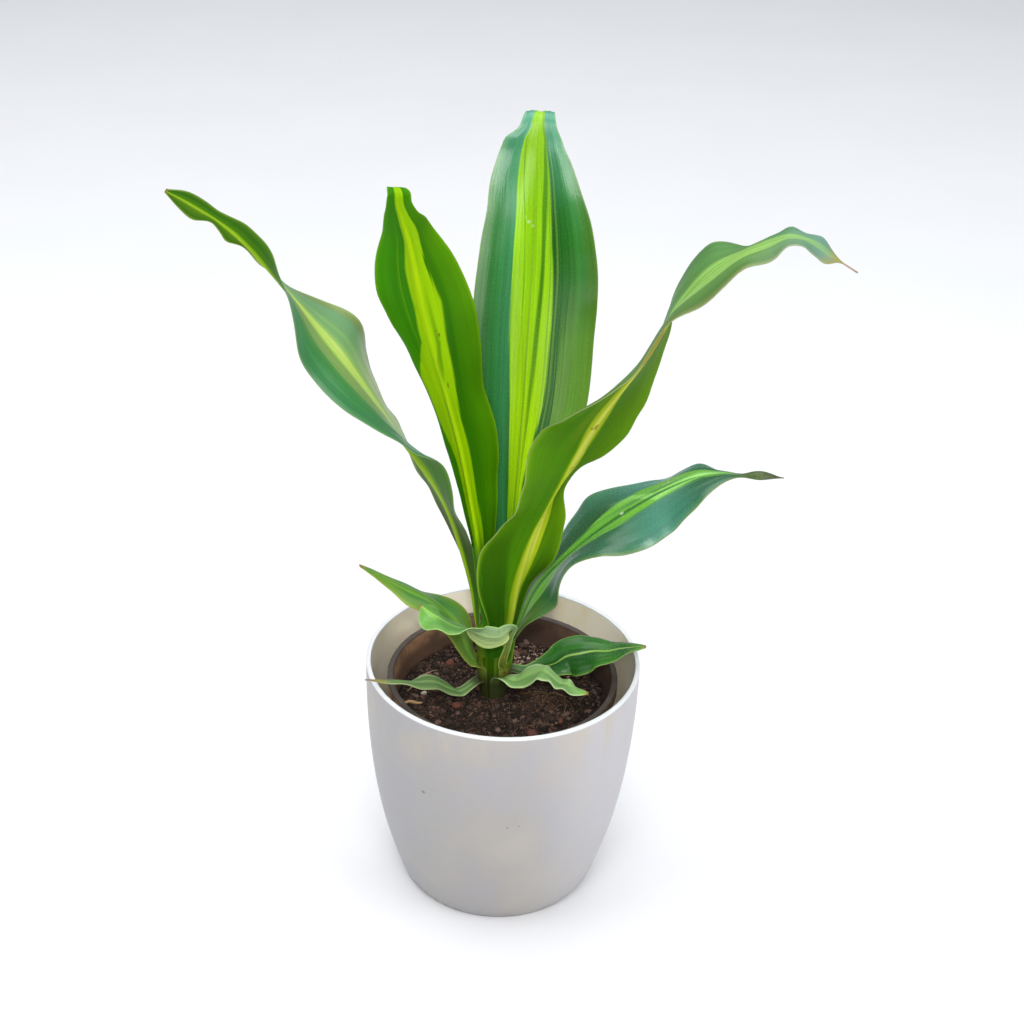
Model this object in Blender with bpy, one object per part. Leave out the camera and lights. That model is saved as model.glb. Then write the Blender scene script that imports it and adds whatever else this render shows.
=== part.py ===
"""A potted dracaena: a white planter, a nursery pot standing in it, soil, a short cane and ten leaves.

Metres, +Z up. The origin is the middle of the planter's underside, +X runs to the right of the plant
as it is usually seen, and +Y away from the viewer.
"""

import math
from dataclasses import dataclass

import bmesh
import bpy
import numpy as np
from mathutils import Matrix, noise, Vector

# Driving dimensions
GAP = 0.0003
PLANTER_RADIUS = 0.080
PLANTER_HEIGHT = 0.150
PLANTER_WALL = 0.0028
PLANTER_FLOOR = 0.003
POT_RIM_RADIUS = 0.0675
POT_BASE_RADIUS = 0.047
POT_TOP = 0.139
POT_WALL = 0.0012
SOIL_LEVEL = 0.123
STEM_X, STEM_Y = -0.005, 0.0
STEM_RADIUS = 0.0046
STEM_TOP = 0.168
STEM_FOOT = 0.070
LEAF_THICKNESS = 0.0008

# Fineness of the faceted surfaces
PLANTER_STEPS = 72
POT_STEPS = 48
STEM_STEPS = 20
LONG_LEAF_ROWS = 38
SHORT_LEAF_ROWS = 24
HALF_BLADE_COLUMNS = 2

# Planter: its outer radius at shares of its height, foot to rim
PLANTER_OUTLINE = (
    (0.03, 0.0577),
    (0.08, 0.0607),
    (0.16, 0.0645),
    (0.28, 0.0694),
    (0.45, 0.0743),
    (0.65, 0.0779),
    (0.85, 0.0797),
)
PLANTER_FOOT_RADIUS = 0.0537
PLANTER_RIM_ROUND = 0.0012
PLANTER_FOOT_ROUND = (0.01, 0.0012)  # share of the height that gives the radius, and the height of the corner
FOOT_RECESS = (0.015, 0.044, 0.0012)  # inner radius, outer radius, depth

# Nursery pot: lip, raised middle of the floor and drain holes
LIP_HEIGHT = 0.007
LIP_THICKNESS = 0.0035
POT_FLOOR_RAISE = 0.003
POT_FOOT_WIDTH = 0.008
DRAIN_HOLES = 6
DRAIN_RADIUS = 0.0035
DRAIN_CIRCLE = 0.026

# Soil: how far the surface rises at the cane and how rough it is
SOIL_MOUND = 0.003
SOIL_ROUGHNESS = 0.0022
SOIL_LUMP = 0.011
SOIL_RINGS = 9
SOIL_SEED = 7
STEM_HOLE_OVERRUN = 0.020


@dataclass(frozen=True)
class Leaf:
    """A leaf: where its base is seated on the cane, its heading, and the stations of its blade.

    A station is the midrib's x, y and z, the lift of the left and the right half-blade in degrees,
    and their widths. The halves are as seen by someone who looks along the leaf with its upper side up.
    """

    name: str
    seat_azimuth: float
    seat_height: float
    seat_lifts: tuple
    heading: float
    rows: int
    stations: tuple
    colour: tuple


SEAT_WIDTH = 0.0028
FRESH_GREEN = (0.045, 0.20, 0.03, 1.0)
DEEP_GREEN = (0.02, 0.13, 0.06, 1.0)
PALE_GREEN = (0.20, 0.34, 0.13, 1.0)

LEAVES = (
    Leaf(
        "leaf_tall", 80, 0.152, (0, 15), 90, LONG_LEAF_ROWS,
        (
            (-0.001, 0.009, 0.185, 40, 40, 0.007, 0.007),
            (0.002, 0.011, 0.225, 36, 36, 0.015, 0.015),
            (0.004, 0.014, 0.265, 32, 30, 0.025, 0.026),
            (0.006, 0.018, 0.310, 30, 18, 0.033, 0.036),
            (0.007, 0.022, 0.352, 32, 14, 0.036, 0.037),
            (0.008, 0.027, 0.387, 33, 19, 0.035, 0.037),
            (0.008, 0.034, 0.415, 29, 23, 0.029, 0.031),
            (0.008, 0.041, 0.440, 8, 15, 0.021, 0.020),
            (0.008, 0.045, 0.453, 15, 5, 0.015, 0.012),
            (0.009, 0.048, 0.461, 5, 5, 0.009, 0.008),
            (0.009, 0.053, 0.465, 0, 0, 0.006, 0.005),
            (0.009, 0.059, 0.461, 0, 0, 0.004, 0.004),
            (0.010, 0.062, 0.452, 0, 0, 0.001, 0.001),
        ),
        DEEP_GREEN,
    ),
    Leaf(
        "leaf_upright", 255, 0.156, (-3, 15), 270, LONG_LEAF_ROWS,
        (
            (-0.013, -0.012, 0.202, 40, 50, 0.005, 0.004),
            (-0.016, -0.014, 0.234, 35, 68, 0.011, 0.009),
            (-0.021, -0.015, 0.264, 34, 72, 0.018, 0.016),
            (-0.026, -0.018, 0.293, 34, 68, 0.023, 0.021),
            (-0.032, -0.024, 0.322, 50, 66, 0.026, 0.024),
            (-0.039, -0.030, 0.352, 36, 54, 0.027, 0.026),
            (-0.045, -0.036, 0.379, 27, 32, 0.027, 0.026),
            (-0.050, -0.042, 0.406, 46, 20, 0.025, 0.024),
            (-0.054, -0.049, 0.430, 60, 35, 0.017, 0.017),
            (-0.057, -0.052, 0.442, 30, 28, 0.008, 0.010),
            (-0.059, -0.054, 0.451, 15, 24, 0.006, 0.006),
            (-0.060, -0.053, 0.457, 0, 0, 0.005, 0.004),
            (-0.062, -0.048, 0.455, 0, 0, 0.003, 0.003),
            (-0.063, -0.046, 0.447, 0, 0, 0.001, 0.001),
        ),
        FRESH_GREEN,
    ),
    Leaf(
        "leaf_far_left", 155, 0.136, (-23, 47), 190, LONG_LEAF_ROWS,
        (
            (-0.017, 0.005, 0.171, 10, 25, 0.005, 0.005),
            (-0.027, 0.005, 0.215, 28, -8, 0.012, 0.014),
            (-0.039, -0.005, 0.262, 16, -19, 0.022, 0.021),
            (-0.050, -0.010, 0.283, 34, -12, 0.023, 0.022),
            (-0.060, -0.014, 0.300, 19, 0, 0.022, 0.023),
            (-0.071, -0.018, 0.320, -6, 4, 0.024, 0.024),
            (-0.082, -0.021, 0.338, -26, 18, 0.025, 0.025),
            (-0.093, -0.022, 0.354, -38, 38, 0.024, 0.026),
            (-0.104, -0.023, 0.369, -30, 17, 0.023, 0.024),
            (-0.125, -0.026, 0.399, 20, -13, 0.017, 0.017),
            (-0.147, -0.028, 0.425, 57, -24, 0.010, 0.010),
            (-0.160, -0.029, 0.435, 36, -62, 0.007, 0.008),
            (-0.176, -0.030, 0.443, 40, 0, 0.001, 0.001),
        ),
        FRESH_GREEN,
    ),
    Leaf(
        "leaf_right_arch", 293, 0.146, (-28, 44), -25, LONG_LEAF_ROWS,
        (
            (0.004, -0.011, 0.185, -5, 55, 0.010, 0.015),
            (0.006, -0.012, 0.202, -12, 60, 0.013, 0.022),
            (0.010, -0.015, 0.225, -42, 60, 0.018, 0.026),
            (0.015, -0.018, 0.248, -25, 37, 0.022, 0.024),
            (0.022, -0.022, 0.268, 0, 23, 0.020, 0.026),
            (0.028, -0.025, 0.283, -8, 24, 0.022, 0.028),
            (0.037, -0.029, 0.305, -25, 44, 0.030, 0.030),
            (0.048, -0.034, 0.329, -23, 24, 0.031, 0.031),
            (0.068, -0.041, 0.366, -1, -4, 0.029, 0.029),
            (0.084, -0.045, 0.400, 22, -9, 0.027, 0.026),
            (0.097, -0.048, 0.418, 22, -22, 0.024, 0.024),
            (0.112, -0.051, 0.431, -6, -18, 0.019, 0.020),
            (0.125, -0.053, 0.438, -3, -24, 0.014, 0.016),
            (0.139, -0.055, 0.441, -8, -4, 0.010, 0.010),
            (0.152, -0.058, 0.437, -4, -16, 0.007, 0.008),
            (0.166, -0.060, 0.429, 0, -12, 0.001, 0.001),
        ),
        FRESH_GREEN,
    ),
    Leaf(
        "leaf_right_low", 22, 0.144, (30, -8), 5, LONG_LEAF_ROWS,
        (
            (0.010, 0.005, 0.173, 16, 4, 0.010, 0.010),
            (0.019, 0.005, 0.197, 2, -27, 0.018, 0.019),
            (0.034, 0.006, 0.216, 6, 12, 0.024, 0.022),
            (0.051, 0.007, 0.233, 11, 4, 0.026, 0.027),
            (0.069, 0.007, 0.249, -1, -31, 0.027, 0.027),
            (0.088, 0.008, 0.262, -17, -29, 0.025, 0.024),
            (0.108, 0.009, 0.271, -11, -5, 0.018, 0.019),
            (0.120, 0.009, 0.273, -22, 4, 0.009, 0.010),
            (0.130, 0.009, 0.272, -17, 18, 0.005, 0.005),
            (0.142, 0.010, 0.272, 20, -20, 0.003, 0.003),
            (0.153, 0.010, 0.271, -30, 26, 0.001, 0.001),
        ),
        DEEP_GREEN,
    ),
    Leaf(
        "leaf_small_left", 235, 0.138, (65, -45), 180, SHORT_LEAF_ROWS,
        (
            (-0.020, -0.008, 0.154, -18, 30, 0.005, 0.006),
            (-0.029, -0.009, 0.179, -20, 42, 0.011, 0.011),
            (-0.036, -0.011, 0.189, -10, 2, 0.012, 0.012),
            (-0.044, -0.013, 0.198, -34, -24, 0.010, 0.011),
            (-0.054, -0.015, 0.204, -26, -18, 0.010, 0.010),
            (-0.063, -0.016, 0.209, -18, -16, 0.007, 0.007),
            (-0.082, -0.020, 0.222, 0, 0, 0.001, 0.001),
        ),
        DEEP_GREEN,
    ),
    Leaf(
        "leaf_front_wavy", 318, 0.138, (146, -130), 180, SHORT_LEAF_ROWS,
        (
            (0.002, -0.014, 0.161, 120, -105, 0.004, 0.004),
            (0.003, -0.019, 0.173, 100, -90, 0.006, 0.006),
            (-0.003, -0.024, 0.181, 90, -90, 0.008, 0.008),
            (-0.014, -0.029, 0.185, 78, -50, 0.008, 0.008),
            (-0.019, -0.031, 0.189, 46, -30, 0.007, 0.007),
            (-0.025, -0.031, 0.190, 10, -18, 0.008, 0.008),
            (-0.030, -0.031, 0.192, -6, -18, 0.009, 0.009),
            (-0.036, -0.031, 0.196, -10, -16, 0.010, 0.010),
            (-0.042, -0.030, 0.199, -62, -2, 0.009, 0.009),
            (-0.047, -0.029, 0.203, -60, 0, 0.001, 0.001),
        ),
        PALE_GREEN,
    ),
    Leaf(
        "leaf_small_low", 207, 0.130, (20, 0), 200, SHORT_LEAF_ROWS,
        (
            (-0.022, -0.008, 0.130, 10, -20, 0.004, 0.004),
            (-0.030, -0.014, 0.136, -2, 4, 0.006, 0.006),
            (-0.040, -0.022, 0.146, 0, -6, 0.007, 0.008),
            (-0.050, -0.030, 0.151, 2, -28, 0.007, 0.006),
            (-0.058, -0.034, 0.154, 14, -20, 0.004, 0.004),
            (-0.066, -0.038, 0.157, -20, -20, 0.002, 0.002),
            (-0.077, -0.044, 0.161, 40, 0, 0.001, 0.001),
        ),
        PALE_GREEN,
    ),
    Leaf(
        "leaf_pale_right", 286, 0.132, (-34, 54), -30, SHORT_LEAF_ROWS,
        (
            (0.003, -0.011, 0.142, 0, 20, 0.005, 0.005),
            (0.008, -0.014, 0.143, 16, 2, 0.007, 0.007),
            (0.013, -0.016, 0.147, 28, -20, 0.008, 0.008),
            (0.019, -0.018, 0.152, 12, -14, 0.009, 0.009),
            (0.023, -0.019, 0.154, -8, 4, 0.009, 0.009),
            (0.027, -0.020, 0.152, -20, 26, 0.009, 0.009),
            (0.033, -0.022, 0.148, -16, 16, 0.008, 0.008),
            (0.037, -0.023, 0.148, 2, 8, 0.006, 0.006),
            (0.042, -0.024, 0.146, -20, -26, 0.004, 0.004),
            (0.050, -0.025, 0.144, 0, 0, 0.001, 0.001),
        ),
        PALE_GREEN,
    ),
    Leaf(
        "leaf_dark_right", 32, 0.133, (40, -18), 5, SHORT_LEAF_ROWS,
        (
            (0.023, 0.006, 0.140, 54, -22, 0.006, 0.006),
            (0.031, 0.005, 0.144, 40, -12, 0.010, 0.010),
            (0.037, 0.005, 0.149, 26, -42, 0.012, 0.012),
            (0.045, 0.004, 0.152, 15, -29, 0.014, 0.014),
            (0.053, 0.004, 0.154, 2, -14, 0.014, 0.014),
            (0.061, 0.003, 0.155, -4, -3, 0.012, 0.012),
            (0.068, 0.003, 0.157, -13, 1, 0.010, 0.010),
            (0.076, 0.002, 0.159, -11, 12, 0.006, 0.006),
            (0.083, 0.002, 0.160, 0, 0, 0.001, 0.001),
        ),
        DEEP_GREEN,
    ),
)


def clear_scene():
    for obj in list(bpy.data.objects):
        bpy.data.objects.remove(obj)


def material(name, colour, roughness, metallic=0.0):
    made = bpy.data.materials.new(name)
    made.use_nodes = True
    shader = made.node_tree.nodes["Principled BSDF"]
    shader.inputs["Base Color"].default_value = colour
    shader.inputs["Roughness"].default_value = roughness
    shader.inputs["Metallic"].default_value = metallic
    return made


def add_object(name, mesh, finish):
    obj = bpy.data.objects.new(name, mesh)
    bpy.context.scene.collection.objects.link(obj)
    mesh.materials.append(finish)
    return obj


def turned(name, profile, steps, finish, middle=(0.0, 0.0)):
    """A turned piece. The profile starts and ends on the axis and runs down its outer side."""
    mesh = bpy.data.meshes.new(name)
    points = [(radius, 0.0, height) for radius, height in profile]
    mesh.from_pydata(points, [(i, i + 1) for i in range(len(points) - 1)], [])
    obj = add_object(name, mesh, finish)
    obj.location = (middle[0], middle[1], 0.0)
    screw = obj.modifiers.new("turn", "SCREW")
    screw.steps = screw.render_steps = steps
    screw.use_merge_vertices = True
    screw.merge_threshold = 0.00005
    screw.use_smooth_shade = True
    return obj


def cut(obj, cutter):
    boolean = obj.modifiers.new("cut", "BOOLEAN")
    boolean.operation = "DIFFERENCE"
    boolean.object = cutter
    cutter.hide_render = True
    cutter.display_type = "WIRE"


def planter_radius(share):
    """Outer radius of the planter at a share of its height, on straight runs between the outline's points."""
    shares = (0.0,) + tuple(at for at, _ in PLANTER_OUTLINE) + (1.0,)
    radii = (PLANTER_FOOT_RADIUS,) + tuple(radius for _, radius in PLANTER_OUTLINE) + (PLANTER_RADIUS,)
    return float(np.interp(share, shares, radii))


def build_planter():
    inner_foot, outer_foot, depth = FOOT_RECESS
    inside = [(0.0, PLANTER_FLOOR)]
    inside.append((planter_radius(0.03) - 2 * PLANTER_WALL, PLANTER_FLOOR))
    inside += [
        (radius - PLANTER_WALL, share * PLANTER_HEIGHT) for share, radius in PLANTER_OUTLINE[1:]
    ]
    rim = [
        (PLANTER_RADIUS - PLANTER_WALL, PLANTER_HEIGHT - PLANTER_RIM_ROUND),
        (PLANTER_RADIUS - PLANTER_WALL + PLANTER_RIM_ROUND / 2, PLANTER_HEIGHT),
        (PLANTER_RADIUS - PLANTER_RIM_ROUND / 2, PLANTER_HEIGHT),
        (PLANTER_RADIUS, PLANTER_HEIGHT - PLANTER_RIM_ROUND),
    ]
    outside = [(radius, share * PLANTER_HEIGHT) for share, radius in reversed(PLANTER_OUTLINE)]
    foot = [
        (planter_radius(PLANTER_FOOT_ROUND[0]), PLANTER_FOOT_ROUND[1]),
        (PLANTER_FOOT_RADIUS, 0.0),
        (outer_foot, 0.0),
        (outer_foot - depth, depth),
        (inner_foot + depth, depth),
        (inner_foot, 0.0),
        (0.0, 0.0),
    ]
    finish = material("white_plastic", (0.74, 0.72, 0.70, 1.0), 0.38)
    return turned("planter", inside + rim + outside + foot, PLANTER_STEPS, finish)


def pot_radius(height):
    """Outer radius of the nursery pot's tapered wall at a height."""
    bottom = PLANTER_FLOOR + GAP
    top_radius = POT_RIM_RADIUS - LIP_THICKNESS + POT_WALL
    share = (height - bottom) / (POT_TOP - bottom)
    return POT_BASE_RADIUS + (top_radius - POT_BASE_RADIUS) * share


def build_nursery_pot():
    bottom = PLANTER_FLOOR + GAP
    lip_foot = POT_TOP - LIP_HEIGHT
    profile = [
        (0.0, bottom + POT_FLOOR_RAISE + POT_WALL),
        (POT_BASE_RADIUS - POT_FOOT_WIDTH - POT_WALL, bottom + POT_FLOOR_RAISE + POT_WALL),
        (POT_BASE_RADIUS - POT_FOOT_WIDTH + POT_WALL, bottom + POT_WALL),
        (POT_BASE_RADIUS - POT_WALL, bottom + POT_WALL),
        (pot_radius(SOIL_LEVEL) - POT_WALL, SOIL_LEVEL),
        (pot_radius(POT_TOP) - POT_WALL, POT_TOP - POT_WALL / 2),
        (pot_radius(POT_TOP), POT_TOP),
        (POT_RIM_RADIUS - POT_WALL / 2, POT_TOP),
        (POT_RIM_RADIUS, POT_TOP - POT_WALL / 2),
        (POT_RIM_RADIUS, lip_foot),
        (pot_radius(lip_foot), lip_foot),
        (POT_BASE_RADIUS, bottom),
        (POT_BASE_RADIUS - POT_FOOT_WIDTH, bottom),
        (POT_BASE_RADIUS - POT_FOOT_WIDTH - 2 * POT_WALL, bottom + POT_FLOOR_RAISE),
        (0.0, bottom + POT_FLOOR_RAISE),
    ]
    finish = material("dark_plastic", (0.055, 0.038, 0.030, 1.0), 0.55)
    pot = turned("nursery_pot", profile, POT_STEPS, finish)
    cut(pot, drain_cutter(bottom))
    return pot


def drain_cutter(bottom):
    """The drain holes of the nursery pot's floor, as one cutter of loose cylinders."""
    made = bmesh.new()
    for i in range(DRAIN_HOLES):
        angle = 2 * math.pi * i / DRAIN_HOLES
        at = Vector((DRAIN_CIRCLE * math.cos(angle), DRAIN_CIRCLE * math.sin(angle), bottom + POT_FLOOR_RAISE))
        bmesh.ops.create_cone(
            made, cap_ends=True, segments=12, radius1=DRAIN_RADIUS, radius2=DRAIN_RADIUS,
            depth=4 * POT_FLOOR_RAISE, matrix=Matrix.Translation(at),
        )
    mesh = bpy.data.meshes.new("drain_cutter")
    made.to_mesh(mesh)
    made.free()
    return add_object("drain_cutter", mesh, material("cutter", (1.0, 0.0, 0.0, 1.0), 0.5))


def soil_height(x, y, radius):
    """Height of the soil's surface: a low mound at the cane with lumps on it."""
    away = math.hypot(x - STEM_X, y - STEM_Y) / radius
    mound = SOIL_MOUND * (1.0 - min(1.0, away)) ** 2
    lumps = noise.noise(Vector((x / SOIL_LUMP + SOIL_SEED, y / SOIL_LUMP, 0.0)))
    return SOIL_LEVEL + mound + SOIL_ROUGHNESS * lumps


def build_soil():
    """The potting mix, which fills the nursery pot from its floor up to a rough surface."""
    floor = PLANTER_FLOOR + GAP + POT_FLOOR_RAISE + POT_WALL + GAP
    top_radius = pot_radius(SOIL_LEVEL - SOIL_ROUGHNESS) - POT_WALL - GAP
    foot_radius = pot_radius(floor) - POT_WALL - 2 * GAP
    made = bmesh.new()
    rings = []
    for j in range(1, SOIL_RINGS + 1):
        radius = top_radius * j / SOIL_RINGS
        ring = []
        for i in range(POT_STEPS):
            angle = 2 * math.pi * i / POT_STEPS
            x, y = radius * math.cos(angle), radius * math.sin(angle)
            height = SOIL_LEVEL - SOIL_ROUGHNESS if j == SOIL_RINGS else soil_height(x, y, top_radius)
            ring.append(made.verts.new((x, y, height)))
        rings.append(ring)
    rings.append([
        made.verts.new((
            foot_radius * math.cos(2 * math.pi * i / POT_STEPS),
            foot_radius * math.sin(2 * math.pi * i / POT_STEPS),
            floor,
        ))
        for i in range(POT_STEPS)
    ])
    crown = made.verts.new((0.0, 0.0, soil_height(0.0, 0.0, top_radius)))
    for i in range(POT_STEPS):
        made.faces.new((crown, rings[0][i], rings[0][(i + 1) % POT_STEPS]))
    for inner, outer in zip(rings, rings[1:]):
        for i in range(POT_STEPS):
            after = (i + 1) % POT_STEPS
            made.faces.new((inner[i], outer[i], outer[after], inner[after]))
    made.faces.new(list(reversed(rings[-1])))
    bmesh.ops.recalc_face_normals(made, faces=made.faces)
    mesh = bpy.data.meshes.new("soil")
    made.to_mesh(mesh)
    made.free()
    soil = add_object("soil", mesh, material("potting_mix", (0.035, 0.018, 0.012, 1.0), 0.95))
    hole = [
        (0.0, SOIL_LEVEL + STEM_HOLE_OVERRUN),
        (STEM_RADIUS + GAP, SOIL_LEVEL + STEM_HOLE_OVERRUN),
        (STEM_RADIUS + GAP, STEM_FOOT - GAP),
        (0.0, STEM_FOOT - GAP),
    ]
    cutter = turned("stem_hole", hole, STEM_STEPS, soil.data.materials[0], (STEM_X, STEM_Y))
    cut(soil, cutter)
    return soil


def stem_radius(height):
    """Radius of the cane, which tapers a little above the soil and ends in a rounded growing tip."""
    taper = STEM_RADIUS * (1.0 - 0.12 * max(0.0, height - SOIL_LEVEL) / (STEM_TOP - SOIL_LEVEL))
    dome = max(0.0, (height - (STEM_TOP - 2 * STEM_RADIUS)) / (2 * STEM_RADIUS))
    return taper * math.sqrt(max(0.0, 1.0 - dome * dome))


def build_stem():
    heights = [STEM_TOP - 2 * STEM_RADIUS * share for share in (0.08, 0.25, 0.5, 0.75, 1.0)]
    heights += [SOIL_LEVEL + 0.010, SOIL_LEVEL, STEM_FOOT]
    profile = [(0.0, STEM_TOP)] + [(stem_radius(height), height) for height in heights] + [(0.0, STEM_FOOT)]
    finish = material("cane", (0.10, 0.19, 0.04, 1.0), 0.6)
    return turned("stem", profile, STEM_STEPS, finish, (STEM_X, STEM_Y))


def smooth_curve(knots, values, rows):
    """Values at even steps along the knots, on cubic pieces with slopes taken from the neighbours."""
    slopes = np.gradient(values, knots, axis=0)
    steps = np.linspace(knots[0], knots[-1], rows)
    piece = np.clip(np.searchsorted(knots, steps, side="right") - 1, 0, len(knots) - 2)
    width = (knots[piece + 1] - knots[piece])[:, None]
    s = (steps - knots[piece])[:, None] / width
    start = (2 * s**3 - 3 * s**2 + 1) * values[piece] + (s**3 - 2 * s**2 + s) * width * slopes[piece]
    end = (3 * s**2 - 2 * s**3) * values[piece + 1] + (s**3 - s**2) * width * slopes[piece + 1]
    return start + end


def seat_station(leaf):
    """The first station of a leaf: its base, held against the cane."""
    angle = math.radians(leaf.seat_azimuth)
    away = stem_radius(leaf.seat_height) + GAP + LEAF_THICKNESS / 2
    x = STEM_X + away * math.cos(angle)
    y = STEM_Y + away * math.sin(angle)
    return (x, y, leaf.seat_height, *leaf.seat_lifts, SEAT_WIDTH, SEAT_WIDTH)


def blade_grid(leaf):
    """Points of the blade's middle surface, row by row from the base, left margin to right margin."""
    stations = np.array((seat_station(leaf),) + leaf.stations)
    lengths = np.linalg.norm(np.diff(stations[:, :3], axis=0), axis=1)
    knots = np.concatenate([[0.0], np.cumsum(lengths)])
    course = smooth_curve(knots, stations, leaf.rows)
    midrib = course[:, :3]
    along = np.gradient(midrib, axis=0)
    along /= np.linalg.norm(along, axis=1)[:, None]
    heading = math.radians(leaf.heading)
    across = np.array((math.sin(heading), -math.cos(heading), 0.0))
    across = across - (along @ across)[:, None] * along
    across /= np.linalg.norm(across, axis=1)[:, None]
    upper = np.cross(across, along)
    columns = []
    for side, lift_column, width_column in ((-1, 3, 5), (1, 4, 6)):
        lift = np.radians(course[:, lift_column])[:, None]
        width = np.clip(course[:, width_column], 0.0006, None)[:, None]
        reach = width * (side * np.cos(lift) * across + np.sin(lift) * upper)
        shares = np.arange(1, HALF_BLADE_COLUMNS + 1) / HALF_BLADE_COLUMNS
        columns.append([midrib + share * reach for share in shares])
    left, right = columns
    return np.stack(left[::-1] + [midrib] + right, axis=1)


def build_leaf(leaf):
    """A blade as a sheet of triangles, thickened by the same amount on both faces."""
    grid = blade_grid(leaf)
    rows, columns = grid.shape[:2]
    made = bmesh.new()
    verts = [[made.verts.new(point) for point in row] for row in grid]
    for i in range(rows - 1):
        for j in range(columns - 1):
            near_left, near_right = verts[i][j], verts[i][j + 1]
            far_left, far_right = verts[i + 1][j], verts[i + 1][j + 1]
            made.faces.new((near_left, near_right, far_right))
            made.faces.new((near_left, far_right, far_left))
    mesh = bpy.data.meshes.new(leaf.name)
    made.to_mesh(mesh)
    made.free()
    mesh.shade_smooth()
    obj = add_object(leaf.name, mesh, material(leaf.name + "_green", leaf.colour, 0.35))
    solidify = obj.modifiers.new("thickness", "SOLIDIFY")
    solidify.thickness = LEAF_THICKNESS
    solidify.offset = 0.0
    solidify.use_even_offset = False
    return obj


def main():
    clear_scene()
    build_planter()
    build_nursery_pot()
    build_soil()
    build_stem()
    for leaf in LEAVES:
        build_leaf(leaf)


if __name__ == "__main__":
    main()
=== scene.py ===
"""The looks of a potted dracaena: striped leaves on a short cane, soil in a nursery pot, a white planter.

Metres, +Z up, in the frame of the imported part. The origin is the middle of the planter's underside,
+X runs to the right of the plant as it is usually seen, and +Y away from the viewer.
"""

import logging
import math
from dataclasses import dataclass, field
from enum import Enum

import bmesh
import bpy
import numpy as np
from mathutils import Matrix, Vector, noise


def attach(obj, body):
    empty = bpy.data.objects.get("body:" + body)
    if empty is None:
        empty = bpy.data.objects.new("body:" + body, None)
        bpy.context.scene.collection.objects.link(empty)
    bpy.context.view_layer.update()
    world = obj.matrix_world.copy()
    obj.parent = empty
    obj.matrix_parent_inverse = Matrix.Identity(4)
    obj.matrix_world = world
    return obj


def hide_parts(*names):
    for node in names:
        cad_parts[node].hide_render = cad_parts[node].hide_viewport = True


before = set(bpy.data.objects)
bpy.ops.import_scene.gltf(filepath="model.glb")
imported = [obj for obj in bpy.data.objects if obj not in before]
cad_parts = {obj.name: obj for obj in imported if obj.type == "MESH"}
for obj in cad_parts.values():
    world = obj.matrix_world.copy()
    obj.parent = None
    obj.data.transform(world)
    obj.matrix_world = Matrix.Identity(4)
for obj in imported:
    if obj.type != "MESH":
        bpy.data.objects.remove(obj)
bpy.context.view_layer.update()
LOG = logging.getLogger("dracaena")
BODY = "root"

Colour = tuple[float, float, float]
Socket = bpy.types.NodeSocket
Piece = bpy.types.Object
Material = bpy.types.Material
Feed = bpy.types.NodeSocket | float | tuple


def paint(red: int, green: int, blue: int) -> Colour:
    """A colour as it is mixed on a screen, 0 to 255, turned into the light that it reflects."""
    shares = (red / 255, green / 255, blue / 255)
    return tuple(c / 12.92 if c < 0.0405 else ((c + 0.055) / 1.055) ** 2.4 for c in shares)


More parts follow.
